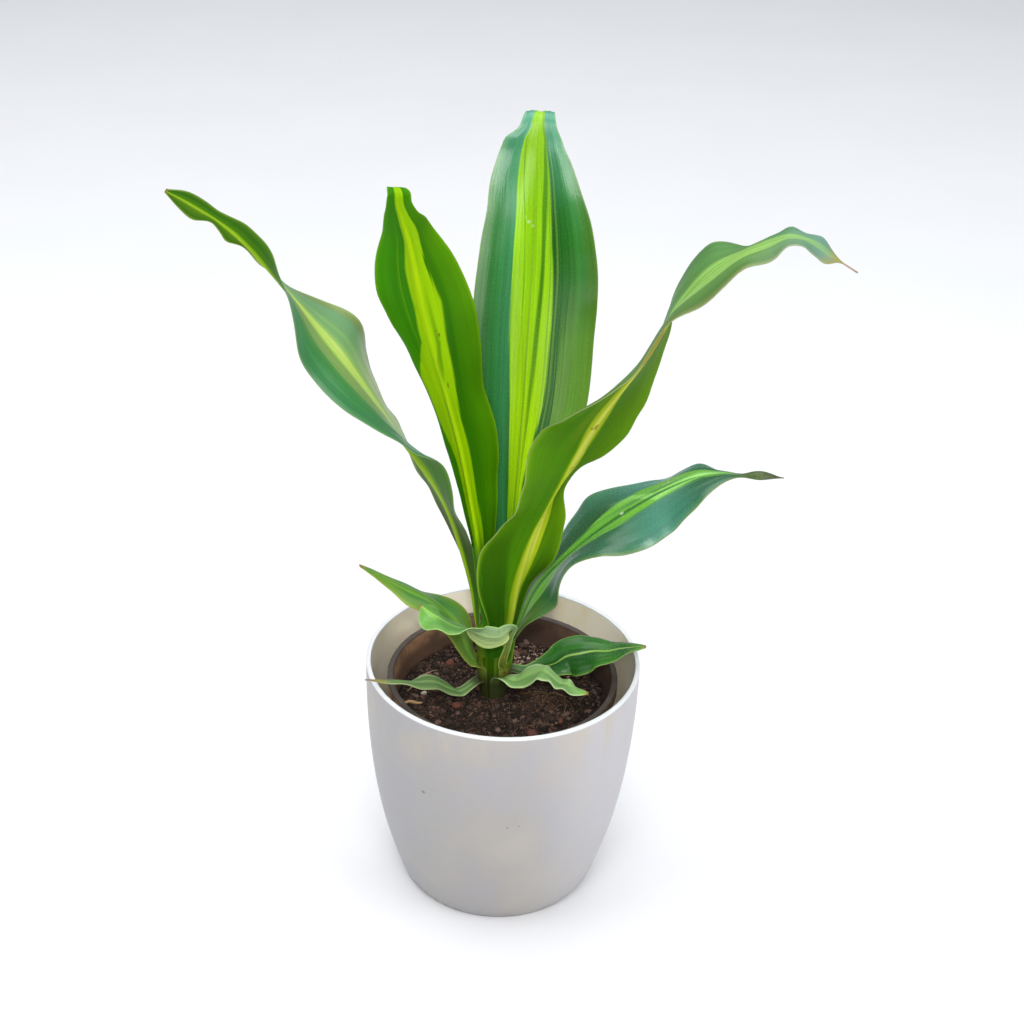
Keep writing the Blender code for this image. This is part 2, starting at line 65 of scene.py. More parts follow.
class MaterialDesk:
    """Lays out the nodes of one material."""

    def __init__(self, name: str) -> None:
        """Starts a material that holds a plain shader.

        Args:
            name: the material's name.
        """
        self.made = bpy.data.materials.new(name)
        self.made.use_nodes = True
        self.nodes = self.made.node_tree.nodes
        self.links = self.made.node_tree.links
        self.shader = self.nodes["Principled BSDF"]

    def node(self, kind: str, **settings: object) -> bpy.types.Node:
        """Adds a node.

        Args:
            kind: Blender's own word for the kind of node.
            settings: the node's settings by their names.

        Returns:
            The node.
        """
        node = self.nodes.new(kind)
        for name, value in settings.items():
            setattr(node, name, value)
        return node

    def feed(self, socket: Socket, value: Feed) -> None:
        """Joins a socket to another one, or sets its value.

        Args:
            socket: the input to fill.
            value: an output to join it to, a number, or a colour of three numbers.
        """
        if isinstance(value, bpy.types.NodeSocket):
            self.links.new(value, socket)
        elif isinstance(value, tuple) and len(value) == 3 and socket.type == "RGBA":
            socket.default_value = (*value, 1.0)
        else:
            socket.default_value = value

    def reckon(self, how: str, first: Feed, second: Feed = 0.0, third: Feed = 0.0) -> Socket:
        """One sum on up to three numbers.

        Args:
            how: the kind of sum, such as ADD or MULTIPLY.
            first: its first number.
            second: its second number.
            third: its third number.

        Returns:
            The result's output.
        """
        node = self.node("ShaderNodeMath", operation=how)
        for socket, value in zip(node.inputs, (first, second, third)):
            self.feed(socket, value)
        return node.outputs[0]

    def plus(self, first: Feed, second: Feed) -> Socket:
        """Two numbers added."""
        return self.reckon("ADD", first, second)

    def minus(self, first: Feed, second: Feed) -> Socket:
        """The first number less the second."""
        return self.reckon("SUBTRACT", first, second)

    def times(self, first: Feed, second: Feed) -> Socket:
        """Two numbers multiplied."""
        return self.reckon("MULTIPLY", first, second)

    def distance(self, x: Feed, y: Feed) -> Socket:
        """How far off a point is that lies x one way and y the other."""
        return self.reckon("SQRT", self.plus(self.times(x, x), self.times(y, y)))

    def blend(self, share: Feed, first: Feed, second: Feed, how: str = "MIX") -> Socket:
        """Two colours mixed.

        Args:
            share: how much of the second colour there is, 0 to 1.
            first: the colour underneath.
            second: the colour on top.
            how: the way they mix, such as MIX or MULTIPLY.

        Returns:
            The mixed colour's output.
        """
        node = self.node("ShaderNodeMix", data_type="RGBA", blend_type=how)
        self.feed(node.inputs[0], share)
        self.feed(node.inputs[6], first)
        self.feed(node.inputs[7], second)
        return node.outputs[2]

    def shaded(self, colour: Feed, shade: Feed) -> Socket:
        """A colour made darker or lighter by a factor."""
        return self.blend(1.0, colour, self.vector(shade, shade, shade), "MULTIPLY")

    def ramp(self, share: Feed, stops: tuple[tuple[float, Colour], ...], kind: str = "LINEAR") -> Socket:
        """Colours at places between 0 and 1.

        Args:
            share: the number that picks the colour.
            stops: pairs of a place and a colour, in order.
            kind: how the colours pass into each other.

        Returns:
            The picked colour's output.
        """
        node = self.node("ShaderNodeValToRGB")
        node.color_ramp.interpolation = kind
        elements = node.color_ramp.elements
        elements.remove(elements[1])
        elements[0].position = stops[0][0]
        elements[0].color = (*stops[0][1], 1.0)
        for place, colour in stops[1:]:
            elements.new(place).color = (*colour, 1.0)
        self.feed(node.inputs[0], share)
        return node.outputs[0]

    def step(self, value: Feed, start: Feed, end: Feed) -> Socket:
        """A number that rises smoothly from 0 to 1.

        Args:
            value: the number that it follows.
            start: where it is 0.
            end: where it is 1.

        Returns:
            The number's output.
        """
        node = self.node("ShaderNodeMapRange", interpolation_type="SMOOTHSTEP")
        for socket, given in zip(node.inputs, (value, start, end)):
            self.feed(socket, given)
        return node.outputs[0]

    def spread(self, value: Feed, low: float, high: float) -> Socket:
        """A number from 0 to 1 spread between low and high."""
        return self.reckon("MULTIPLY_ADD", value, high - low, low)

    def held(self, name: str) -> Socket:
        """A number that the mesh holds at each of its points, by its name."""
        return self.node("ShaderNodeAttribute", attribute_name=name).outputs[2]

    def place(self) -> Socket:
        """The point's own place on the object, in metres."""
        return self.node("ShaderNodeTexCoord").outputs["Object"]

    def parts(self, vector: Socket) -> tuple[Socket, Socket, Socket]:
        """Takes a vector apart.

        Args:
            vector: the vector.

        Returns:
            Its x, y and z.
        """
        node = self.node("ShaderNodeSeparateXYZ")
        self.feed(node.inputs[0], vector)
        return tuple(node.outputs)

    def vector(self, x: Feed, y: Feed, z: Feed = 0.0) -> Socket:
        """Puts a vector together.

        Args:
            x: its x.
            y: its y.
            z: its z.

        Returns:
            The vector's output.
        """
        node = self.node("ShaderNodeCombineXYZ")
        for socket, value in zip(node.inputs, (x, y, z)):
            self.feed(socket, value)
        return node.outputs[0]

    def stretch(self, vector: Socket, scales: tuple[float, float, float]) -> Socket:
        """Scales a vector by its own amount on each axis.

        Args:
            vector: the vector.
            scales: the amounts along x, y and z.

        Returns:
            The scaled vector's output.
        """
        node = self.node("ShaderNodeVectorMath", operation="MULTIPLY")
        self.feed(node.inputs[0], vector)
        node.inputs[1].default_value = scales
        return node.outputs[0]

    def cloud(
        self, where: Socket, scale: float, detail: float = 2.0, rough: float = 0.5, warp: float = 0.0,
    ) -> Socket:
        """Soft noise around 0.5.

        Args:
            where: the vector that it is read at.
            scale: how many lumps there are to one unit of that vector.
            detail: how many finer layers lie on it.
            rough: how strong the finer layers are.
            warp: how much it is pulled about.

        Returns:
            The noise's output.
        """
        node = self.node("ShaderNodeTexNoise")
        for name, value in (("Scale", scale), ("Detail", detail), ("Roughness", rough), ("Distortion", warp)):
            node.inputs[name].default_value = value
        self.feed(node.inputs["Vector"], where)
        return node.outputs[0]

    def drawn_out(
        self, side: Feed, run: Feed, scales: tuple[float, float], kind: tuple[float, ...],
    ) -> Socket:
        """Noise that is drawn out along a leaf.

        Args:
            side: the place across the leaf.
            run: the place along it, in metres.
            scales: how many lumps there are to one unit across and along.
            kind: where this noise is read, how many finer layers it has and how strong they are.

        Returns:
            The noise's output.
        """
        seed, detail, rough = kind
        return self.cloud(
            self.vector(self.times(side, scales[0]), self.times(run, scales[1]), seed), 1.0, detail, rough,
        )

    def relief(
        self, height: Socket, depth: float, strength: float = 1.0, under: Socket | None = None,
    ) -> Socket:
        """A bumpy surface.

        Args:
            height: the number that gives the height.
            depth: what a height of 1 measures, in metres.
            strength: how much of it shows.
            under: a bumpy surface that this one lies on.

        Returns:
            The surface direction's output.
        """
        node = self.node("ShaderNodeBump")
        node.inputs["Strength"].default_value = strength
        node.inputs["Distance"].default_value = depth
        self.feed(node.inputs["Height"], height)
        if under is not None:
            self.feed(node.inputs["Normal"], under)
        return node.outputs[0]

    def finish(self, colour: Feed, roughness: Feed, normal: Socket | None = None, **fixed: float) -> Material:
        """Fills the shader.

        Args:
            colour: the surface's colour.
            roughness: 0 for a mirror, 1 for chalk.
            normal: the bumpy surface, if there is one.
            fixed: numbers that are the same all over, by the shader's words with _ for a space.

        Returns:
            The material.
        """
        self.feed(self.shader.inputs["Base Color"], colour)
        self.feed(self.shader.inputs["Roughness"], roughness)
        if normal is not None:
            self.feed(self.shader.inputs["Normal"], normal)
        for name, value in fixed.items():
            self.shader.inputs[name.replace("_", " ")].default_value = value
        return self.made


@dataclass(frozen=True)
class Crown:
    """The cane that the leaves are seated on: its middle, its radius at the soil, its heights and rings."""

    x: float = -0.005
    y: float = 0.0
    radius: float = 0.0046
    foot: float = 0.070
    soil: float = 0.123
    top: float = 0.168
    ring_gap: float = 0.0042

    def radius_at(self, height: float) -> float:
        """Radius of the cane, which tapers a little and ends in a rounded growing tip.

        Args:
            height: the height above the ground.

        Returns:
            The radius there.
        """
        taper = self.radius * (1.0 - 0.12 * max(0.0, height - self.soil) / (self.top - self.soil))
        dome = max(0.0, (height - (self.top - 2 * self.radius)) / (2 * self.radius))
        return taper * math.sqrt(max(0.0, 1.0 - dome * dome))


CROWN = Crown()


@dataclass(frozen=True)
class Stripe:
    """A stripe along a leaf, such as a bright band or a thin dark line.

    Its course gives the share of the leaf's length, the shares of the half-blade where the stripe
    starts and ends (-1 is the left margin, 0 the midrib, 1 the right margin), and how strong it is.
    """

    colour: Colour
    course: tuple[tuple[float, float, float, float], ...]
    edge: float
    frayed: float


def stripe(colour: Colour, edge: float, frayed: float, *course: tuple[float, float, float, float]) -> Stripe:
    """A stripe from its colour, how soft and how frayed its sides are, and its course."""
    return Stripe(colour, course, edge, frayed)


@dataclass(frozen=True)
class Mark:
    """A small scar or spot: its place along and across in shares, and its half length and half width."""

    along: float
    across: float
    length: float
    width: float
    colour: Colour
    strength: float = 0.8


@dataclass(frozen=True)
class FaceLook:
    """How one face of a leaf is coloured.

    The ground is a row of colours from the left margin to the right one, as pairs of a share from -1
    to 1 and a colour. The foot is the colour of the leaf's narrow base, and the share where it ends.
    """

    ground: tuple[tuple[float, Colour], ...]
    foot: Colour
    foot_strip: Colour = paint(112, 128, 40)
    foot_end: float = 0.16
    foot_share: float = 0.7
    stripes: tuple[Stripe, ...] = ()
    marks: tuple[Mark, ...] = ()
    margin: Colour = paint(150, 165, 70)
    margin_share: float = 0.5
    shades: tuple[tuple[float, Colour, float], ...] = ()
    roughness: float = 0.36
    gloss: float = 0.5
    streaks: float = 0.16

    def material(self, name: str, length: float, tip: "DryTip", seed: float) -> Material:
        """Builds the face's material.

        Args:
            name: the material's name.
            length: the leaf's length in metres.
            tip: the dry end of the leaf.
            seed: sets this leaf's streaks apart from those of the others.

        Returns:
            The material.
        """
        desk = MaterialDesk(name)
        across, along, offset, inset = (desk.held(word) for word in ("across", "along", "offset", "inset"))
        run = desk.times(along, length)
        threads = desk.drawn_out(across, run, (26.0, 7.0), (seed, 3.0, 0.62))
        veins = desk.drawn_out(across, run, (95.0, 16.0), (seed + 3.1, 1.0, 0.5))
        patches = desk.drawn_out(offset, run, (60.0, 26.0), (seed + 7.7, 3.0, 0.55))
        strips = desk.drawn_out(across, run, (3.4, 9.0), (seed + 5.3, 2.0, 0.5))
        ground = desk.ramp(
            desk.spread(desk.plus(across, desk.spread(threads, -0.09, 0.09)), 0.5, 1.0),
            tuple(((place + 1.0) / 2.0, colour) for place, colour in self.ground),
        )
        for place, colour, share in self.shades:
            frayed = desk.plus(along, desk.spread(patches, -0.03, 0.03))
            near = desk.reckon("ABSOLUTE", desk.minus(frayed, place))
            ground = desk.blend(desk.times(desk.step(near, 0.16, 0.0), share), ground, colour)
        foot = desk.blend(desk.times(desk.step(strips, 0.50, 0.62), 0.75), self.foot, self.foot_strip)
        at_foot = desk.times(desk.step(along, self.foot_end, self.foot_end * 0.25), self.foot_share)
        colour = desk.blend(at_foot, ground, foot)
        for stripe in self.stripes:
            colour = self._lay_stripe(desk, stripe, colour, (across, along, threads, veins))
        tone = desk.spread(threads, 1.0 - self.streaks * 2, 1.0 + self.streaks * 2)
        fine = desk.spread(veins, 0.9, 1.1)
        patch = desk.spread(patches, 0.86, 1.14)
        colour = desk.shaded(colour, desk.times(desk.times(tone, fine), patch))
        for mark in self.marks:
            colour = self._lay_mark(desk, mark, colour, (across, run, inset, patches), length)
        past_foot = desk.times(desk.step(along, 0.03, 0.14), self.margin_share)
        colour = desk.blend(desk.times(desk.step(inset, 0.0009, 0.0003), past_foot), colour, self.margin)
        colour = self._lay_low_stain_and_shade(desk, colour, threads)
        colour = tip.lay(desk, colour, desk.minus(length, run), patches, inset)
        dust = desk.cloud(desk.place(), 900.0, 2.0)
        dusty = desk.spread(dust, self.roughness - 0.07, self.roughness + 0.05)
        roughness = desk.plus(dusty, desk.spread(veins, -0.04, 0.04))
        roughness = desk.plus(roughness, desk.times(desk.step(along, 0.40, 0.12), 0.24))
        ridges = desk.relief(threads, 0.00022, 0.55)
        normal = desk.relief(veins, 0.00009, 0.45, ridges)
        return desk.finish(colour, roughness, normal, Specular_IOR_Level=self.gloss)

    @staticmethod
    def _lay_low_stain_and_shade(desk: MaterialDesk, under: Socket, threads: Socket) -> Socket:
        """Lays a dark patch over a colour, low on the leaf and close to the cane: partly soil stain, partly
        painted shade where the leaves meet the soil.

        Args:
            desk: where the material is made.
            under: the colour below it.
            threads: streaky noise that frays its upper edge.

        Returns:
            The colour with the stain on it.
        """
        x, y, z = desk.parts(desk.place())
        from_cane = desk.distance(desk.minus(x, CROWN.x), desk.minus(y, CROWN.y))
        height = desk.plus(z, desk.spread(threads, -0.006, 0.006))
        low = desk.step(height, CROWN.soil + 0.029, CROWN.soil + 0.013)
        # Painted shade and soil stain: the leaf darkens towards the soil near the cane.
        darkening = desk.times(low, desk.step(from_cane, 0.016, 0.011))
        return desk.blend(desk.times(darkening, 0.9), under, paint(38, 38, 18))

    @staticmethod
    def _lay_stripe(desk: MaterialDesk, stripe: Stripe, under: Socket, held: tuple[Socket, ...]) -> Socket:
        """Lays one stripe over a colour.

        Args:
            desk: where the material is made.
            stripe: the stripe.
            under: the colour below it.
            held: the leaf's across and along shares and its two kinds of streaks.

        Returns:
            The colour with the stripe on it.
        """
        across, along, threads, veins = held
        course = stripe.course
        stops = tuple((at, ((low + 1.5) / 3, (high + 1.5) / 3, share)) for at, low, high, share in course)
        node = desk.node("ShaderNodeSeparateColor")
        desk.feed(node.inputs[0], desk.ramp(along, stops))
        low, high, share = tuple(node.outputs)[:3]
        frayed = desk.plus(across, desk.spread(threads, -stripe.frayed, stripe.frayed))
        frayed = desk.plus(frayed, desk.spread(veins, -stripe.frayed / 2, stripe.frayed / 2))
        placed = desk.reckon("DIVIDE", desk.plus(frayed, 1.5), 3.0)
        edge = stripe.edge / 3
        inner = desk.step(placed, desk.minus(low, edge), desk.plus(low, edge))
        outer = desk.step(placed, desk.plus(high, edge), desk.minus(high, edge))
        mask = desk.times(desk.times(inner, outer), share)
        mask = desk.times(mask, desk.step(along, 0.005, 0.06))
        return desk.blend(mask, under, stripe.colour)

    @staticmethod
    def _lay_mark(
        desk: MaterialDesk, mark: Mark, under: Socket, held: tuple[Socket, ...], length: float,
    ) -> Socket:
        """Lays one small spot or scar over a colour.

        Args:
            desk: where the material is made.
            mark: the spot.
            under: the colour below it.
            held: the across share, the distance along, the distance from the margin and soft noise.
            length: the leaf's length in metres.

        Returns:
            The colour with the spot on it.
        """
        across, run, inset, patches = held
        to_margin = desk.reckon("MAXIMUM", desk.minus(1.0, desk.reckon("ABSOLUTE", across)), 0.02)
        half = desk.reckon("DIVIDE", inset, to_margin)
        x = desk.reckon("DIVIDE", desk.times(desk.minus(across, mark.across), half), mark.width)
        y = desk.reckon("DIVIDE", desk.minus(run, mark.along * length), mark.length)
        away = desk.plus(desk.distance(x, y), desk.spread(patches, -0.5, 0.5))
        mask = desk.times(desk.step(away, 1.25, 0.55), mark.strength)
        return desk.blend(mask, under, mark.colour)


@dataclass(frozen=True)
class DryTip:
    """The end of a leaf, which may be dry: how far it reaches, in metres, and its two browns."""

    reach: float = 0.004
    dry: Colour = paint(118, 92, 58)
    edge: Colour = paint(150, 140, 60)
    share: float = 0.8

    def lay(
        self, desk: MaterialDesk, under: Socket, to_tip: Socket, patches: Socket, inset: Socket,
    ) -> Socket:
        """Lays the dry end over a colour.

        Args:
            desk: where the material is made.
            under: the leaf's colour.
            to_tip: the distance to the tip, in metres.
            patches: soft noise that frays the edge of the dry part.
            inset: the distance to the margin, in metres.

        Returns:
            The colour with the dry end on it.
        """
        frayed = desk.plus(to_tip, desk.spread(patches, -0.35 * self.reach, 0.35 * self.reach))
        frayed = desk.plus(frayed, desk.times(inset, 0.4))
        fading = desk.times(desk.step(frayed, self.reach * 1.9, self.reach), self.share)
        withered = desk.times(desk.step(frayed, self.reach, self.reach * 0.6), self.share)
        return desk.blend(withered, desk.blend(fading, under, self.edge), self.dry)


def smooth_curve(knots: np.ndarray, values: np.ndarray, steps: np.ndarray) -> np.ndarray:
    """Values on a smooth curve through given ones.

    Args:
        knots: where each given value stands.
        values: the given values, one row for each knot.
        steps: where values are wanted.

    Returns:
        One row of values for each step.
    """
    slopes = np.gradient(values, knots, axis=0)
    piece = np.clip(np.searchsorted(knots, steps, side="right") - 1, 0, len(knots) - 2)
    width = (knots[piece + 1] - knots[piece])[:, None]
    s = (steps - knots[piece])[:, None] / width
    start = (2 * s**3 - 3 * s**2 + 1) * values[piece] + (s**3 - 2 * s**2 + s) * width * slopes[piece]
    end = (3 * s**2 - 2 * s**3) * values[piece + 1] + (s**3 - s**2) * width * slopes[piece + 1]
    return start + end


def unit(rows: np.ndarray) -> np.ndarray:
    """Rows of vectors, each brought to length 1."""
    return rows / np.maximum(np.linalg.norm(rows, axis=-1, keepdims=True), 1e-12)


def rise(value: np.ndarray, start: float, end: float) -> np.ndarray:
    """Numbers that rise smoothly from 0 at start to 1 at end."""
    s = np.clip((value - start) / (end - start), 0.0, 1.0)
    return s * s * (3.0 - 2.0 * s)


def placed(name: str, data: bpy.types.ID) -> bpy.types.Object:
    """Puts a mesh, lamp or camera into the scene.

    Args:
        name: the new object's name.
        data: what it shows.

    Returns:
        The object.
    """
    made = bpy.data.objects.new(name, data)
    bpy.context.scene.collection.objects.link(made)
    return made


def mesh_piece(name: str, points: np.ndarray, faces: list[tuple[int, ...]], slot: str, *nodes: str) -> Piece:
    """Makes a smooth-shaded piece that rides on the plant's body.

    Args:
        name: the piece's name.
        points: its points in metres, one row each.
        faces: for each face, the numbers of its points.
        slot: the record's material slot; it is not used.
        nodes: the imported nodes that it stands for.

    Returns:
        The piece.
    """
    mesh = bpy.data.meshes.new(name)
    mesh.from_pydata([tuple(point) for point in points], [], faces)
    mesh.shade_smooth()
    mesh.update()
    piece = placed(name, mesh)
    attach(piece, BODY)
    if nodes:
        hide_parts(*nodes)
    LOG.info("%s: %d points, %d faces", name, len(mesh.vertices), len(mesh.polygons))
    return piece


def closed_rings(count: int, steps: int) -> list[tuple[int, ...]]:
    """Faces of a closed body whose points are a first pole, rings one after another, and a last pole.

    Args:
        count: how many rings there are.
        steps: how many points each ring has.

    Returns:
        For each face, the numbers of its points.
    """
    faces, last = [], 1 + (count - 1) * steps
    for i in range(steps):
        after = (i + 1) % steps
        faces += [(0, 1 + i, 1 + after), (last + steps, last + after, last + i)]
        for row in range(1, last, steps):
            faces.append((row + i, row + steps + i, row + steps + after, row + after))
    return faces


def turns_of(steps: int) -> np.ndarray:
    """The angles of the points of a ring, in radians."""
    return np.arange(steps) * 2 * math.pi / steps


def hold_number(piece: Piece, name: str, values: np.ndarray) -> None:
    """Keeps one number at each point of a piece, for its material to read."""
    kept = piece.data.attributes.new(name, "FLOAT", "POINT")
    kept.data.foreach_set("value", np.asarray(values, dtype=np.float32).ravel())


# The columns of a half-blade, as shares of its width: closer at the midrib and at the margin
HALF_SHARES = (
    0.02, 0.05, 0.10, 0.17, 0.25, 0.34, 0.43, 0.52, 0.61, 0.70, 0.78, 0.85, 0.91, 0.955, 0.985, 1.0,
)


# What one of each number in a leaf's station measures, in metres and degrees
STATION_UNITS = (0.001, 0.001, 0.001, 1.0, 1.0, 0.001, 0.001)


@dataclass(frozen=True)
class Blade:
    """One leaf: how it is seated on the cane, the stations of its blade, and how its sheet is shaped.

    A station is the midrib's x, y and z in millimetres, the lift of the left and the right half-blade
    in degrees, and their widths in millimetres. The halves are as seen by someone who looks along the
    leaf with its upper side up.
    """

    name: str
    seat_azimuth: float
    seat_height: float
    seat_lifts: tuple[float, float]
    heading: float
    stations: tuple[tuple[float, ...], ...]
    upper: FaceLook
    lower: FaceLook
    tip: DryTip = DryTip()
    camber: float = 0.05
    ripple: float = 0.0008
    waves: float = 9.0
    pleats: float = 0.00022
    keel: float = 0.0009
    groove: float = 0.00032
    midrib_half: float = 0.0013
    margin_half: float = 0.0002
    body_half: float = 0.00044
    sheath_arc: float = 100.0
    sheath_radius: float = 0.0060
    sheath_foot: float = 0.1180
    sheath_height: float = 0.030
    row_gap: float = 0.0017
    full_width: float = 0.02
    seat_width: float = 0.0028
    seed: float = 1.0

    def course(self) -> tuple[np.ndarray, np.ndarray]:
        """The blade's stations, smoothed.

        Returns:
            The distance along the midrib of each row, which is below 0 in the clasping base, and a row
            of station values for each.
        """
        angle = math.radians(self.seat_azimuth)
        away = CROWN.radius_at(self.seat_height) + 0.0007
        seat = (CROWN.x + away * math.cos(angle), CROWN.y + away * math.sin(angle), self.seat_height)
        stations = np.array(self.stations) * STATION_UNITS
        stations = np.vstack([(*seat, *self.seat_lifts, self.seat_width, self.seat_width), stations])
        lengths = np.linalg.norm(np.diff(stations[:, :3], axis=0), axis=1)
        knots = np.concatenate([[0.0], np.cumsum(lengths)])
        below = self.seat_height - self.sheath_foot
        foot = np.linspace(-below, 0.0, int(below / self.row_gap) + 1, endpoint=False)
        steps = np.linspace(0.0, knots[-1], int(knots[-1] / self.row_gap) + 1)
        course = smooth_curve(knots, stations, steps)
        under = np.repeat(course[:1], len(foot), axis=0)
        under[:, 2] += foot
        return np.concatenate([foot, steps]), np.concatenate([under, course])

    def sheath(self, run: np.ndarray, shares: np.ndarray) -> np.ndarray:
        """Points of the clasping base, which wraps round the cane and opens as it rises.

        Args:
            run: the distance of each row from the seat.
            shares: each column's place, -1 to 1.

        Returns:
            Points, row by row.
        """
        heights = self.seat_height + run
        radius = self.sheath_radius + 0.14 * (heights - self.sheath_foot)
        turn = math.radians(self.seat_azimuth) - shares[None, :] * math.radians(self.sheath_arc)
        x = CROWN.x + radius[:, None] * np.cos(turn)
        y = CROWN.y + radius[:, None] * np.sin(turn)
        lowered = 0.0015 * shares[None, :] ** 2
        return np.stack([x, y, np.broadcast_to(heights[:, None] + lowered, x.shape)], axis=2)

    def sheet(self) -> dict[str, np.ndarray]:
        """The blade's middle surface and what its material needs to know at each point.

        Returns:
            Arrays by name, all with a row for each step along the leaf.
        """
        run, course = self.course()
        midrib = course[:, :3]
        along = unit(np.gradient(midrib, axis=0))
        heading = math.radians(self.heading)
        across = np.array((math.sin(heading), -math.cos(heading), 0.0))
        across = unit(across - (along @ across)[:, None] * along)
        upper = np.cross(across, along)
        shares = np.array([-s for s in reversed(HALF_SHARES)] + [0.0] + list(HALF_SHARES))
        rng = np.random.default_rng(int(self.seed * 100))
        length = run[-1]
        columns, widths = [], []
        for side, lift_column, width_column in ((-1, 3, 5), (1, 4, 6)):
            lift = np.radians(course[:, lift_column])[:, None]
            width = np.clip(course[:, width_column], 0.0005, None)[:, None]
            reach = width * (side * np.cos(lift) * across + np.sin(lift) * upper)
            face = np.cos(lift) * upper - side * np.sin(lift) * across
            phase = rng.uniform(0, 2 * math.pi, 3)
            beat = run / length * 2 * math.pi
            wave = np.sin(self.waves * beat + phase[0]) + 0.6 * np.sin(self.waves * 1.83 * beat + phase[1])
            wave = wave * (0.6 + 0.4 * np.sin(2.3 * beat + phase[2]))
            wave = wave * rise(run, 0.03, 0.08) * rise(length - run, 0.0, 0.05)
            fullness = np.minimum(width / self.full_width, 1.0)
            half = []
            for share in (HALF_SHARES if side > 0 else tuple(reversed(HALF_SHARES))):
                out = self.camber * width * 4 * share * (1 - share)
                out = out + self.ripple * share**2.2 * wave[:, None] * fullness
                out = out + self.pleats * math.sin(share * 17.0 + phase[0]) * fullness
                half.append(midrib + share * reach + out * face)
            columns.append(half)
            widths.append(width[:, 0])
        grid = np.stack(columns[0] + [midrib] + columns[1], axis=1)
        share_run = rise(run, 0.004, self.sheath_height)[:, None, None]
        grid = (1.0 - share_run) * self.sheath(run, shares) + share_run * grid
        width = np.where(shares[None, :] < 0, widths[0][:, None], widths[1][:, None])
        return {
            "grid": grid,
            "across": np.broadcast_to(shares[None, :], grid.shape[:2]),
            "along": np.broadcast_to(np.clip(run / length, 0.0, 1.0)[:, None], grid.shape[:2]),
            "offset": width * shares[None, :],
            "inset": width * (1.0 - np.abs(shares[None, :])),
            "length": length,
        }

    def build(self) -> Piece:
        """Builds the leaf as a closed sheet, thicker at the midrib and thin at the margins.

        Returns:
            The leaf's piece.
        """
        made = self.sheet()
        grid = made["grid"]
        rows, columns = grid.shape[:2]
        normal = unit(np.cross(np.gradient(grid, axis=1), np.gradient(grid, axis=0)))
        near_midrib = np.exp(-((made["offset"] / self.midrib_half) ** 2))
        near_midrib = near_midrib * rise(made["along"], 0.03, 0.12) * rise(1 - made["along"], 0.02, 0.15)
        half = self.margin_half + (self.body_half - self.margin_half) * rise(made["inset"], 0.0, 0.004)
        above = half - self.groove * near_midrib
        below = half + self.keel * near_midrib * (1.0 - 0.5 * made["along"])
        top, bottom = grid + normal * above[..., None], grid - normal * below[..., None]
        points = np.concatenate([top.reshape(-1, 3), bottom.reshape(-1, 3)])
        count = rows * columns
        corners = [i * columns + j for i in range(rows - 1) for j in range(columns - 1)]
        faces = [(a, a + 1, a + 1 + columns, a + columns) for a in corners]
        faces += [(count + a, count + a + columns, count + a + 1 + columns, count + a + 1) for a in corners]
        for i in range(rows - 1):
            right, left = i * columns + columns - 1, i * columns
            faces.append((right, count + right, count + right + columns, right + columns))
            faces.append((left, left + columns, count + left + columns, count + left))
        for j in range(columns - 1):
            last = (rows - 1) * columns + j
            faces.append((j, count + j, count + j + 1, j + 1))
            faces.append((last, last + 1, count + last + 1, count + last))
        piece = mesh_piece(self.name + "_blade", points, faces, self.name, self.name)
        for word in ("across", "along", "offset", "inset"):
            hold_number(piece, word, np.concatenate([made[word].ravel(), made[word].ravel()]))
        length = float(made["length"])
        piece.data.materials.append(self.upper.material(self.name + "_upper", length, self.tip, self.seed))
        piece.data.materials.append(
            self.lower.material(self.name + "_lower", length, self.tip, self.seed + 20.0)
        )
        indices = np.zeros(len(faces), dtype=np.int32)
        indices[len(corners) : 2 * len(corners)] = 1
        piece.data.polygons.foreach_set("material_index", indices)
        piece.data.update()
        return piece


# The lower faces' greens are partly painted light: they are painted brighter, warmer and more saturated than
# a blade's own underside, for light that shines through the thin leaf.
LIME = paint(146, 198, 14)

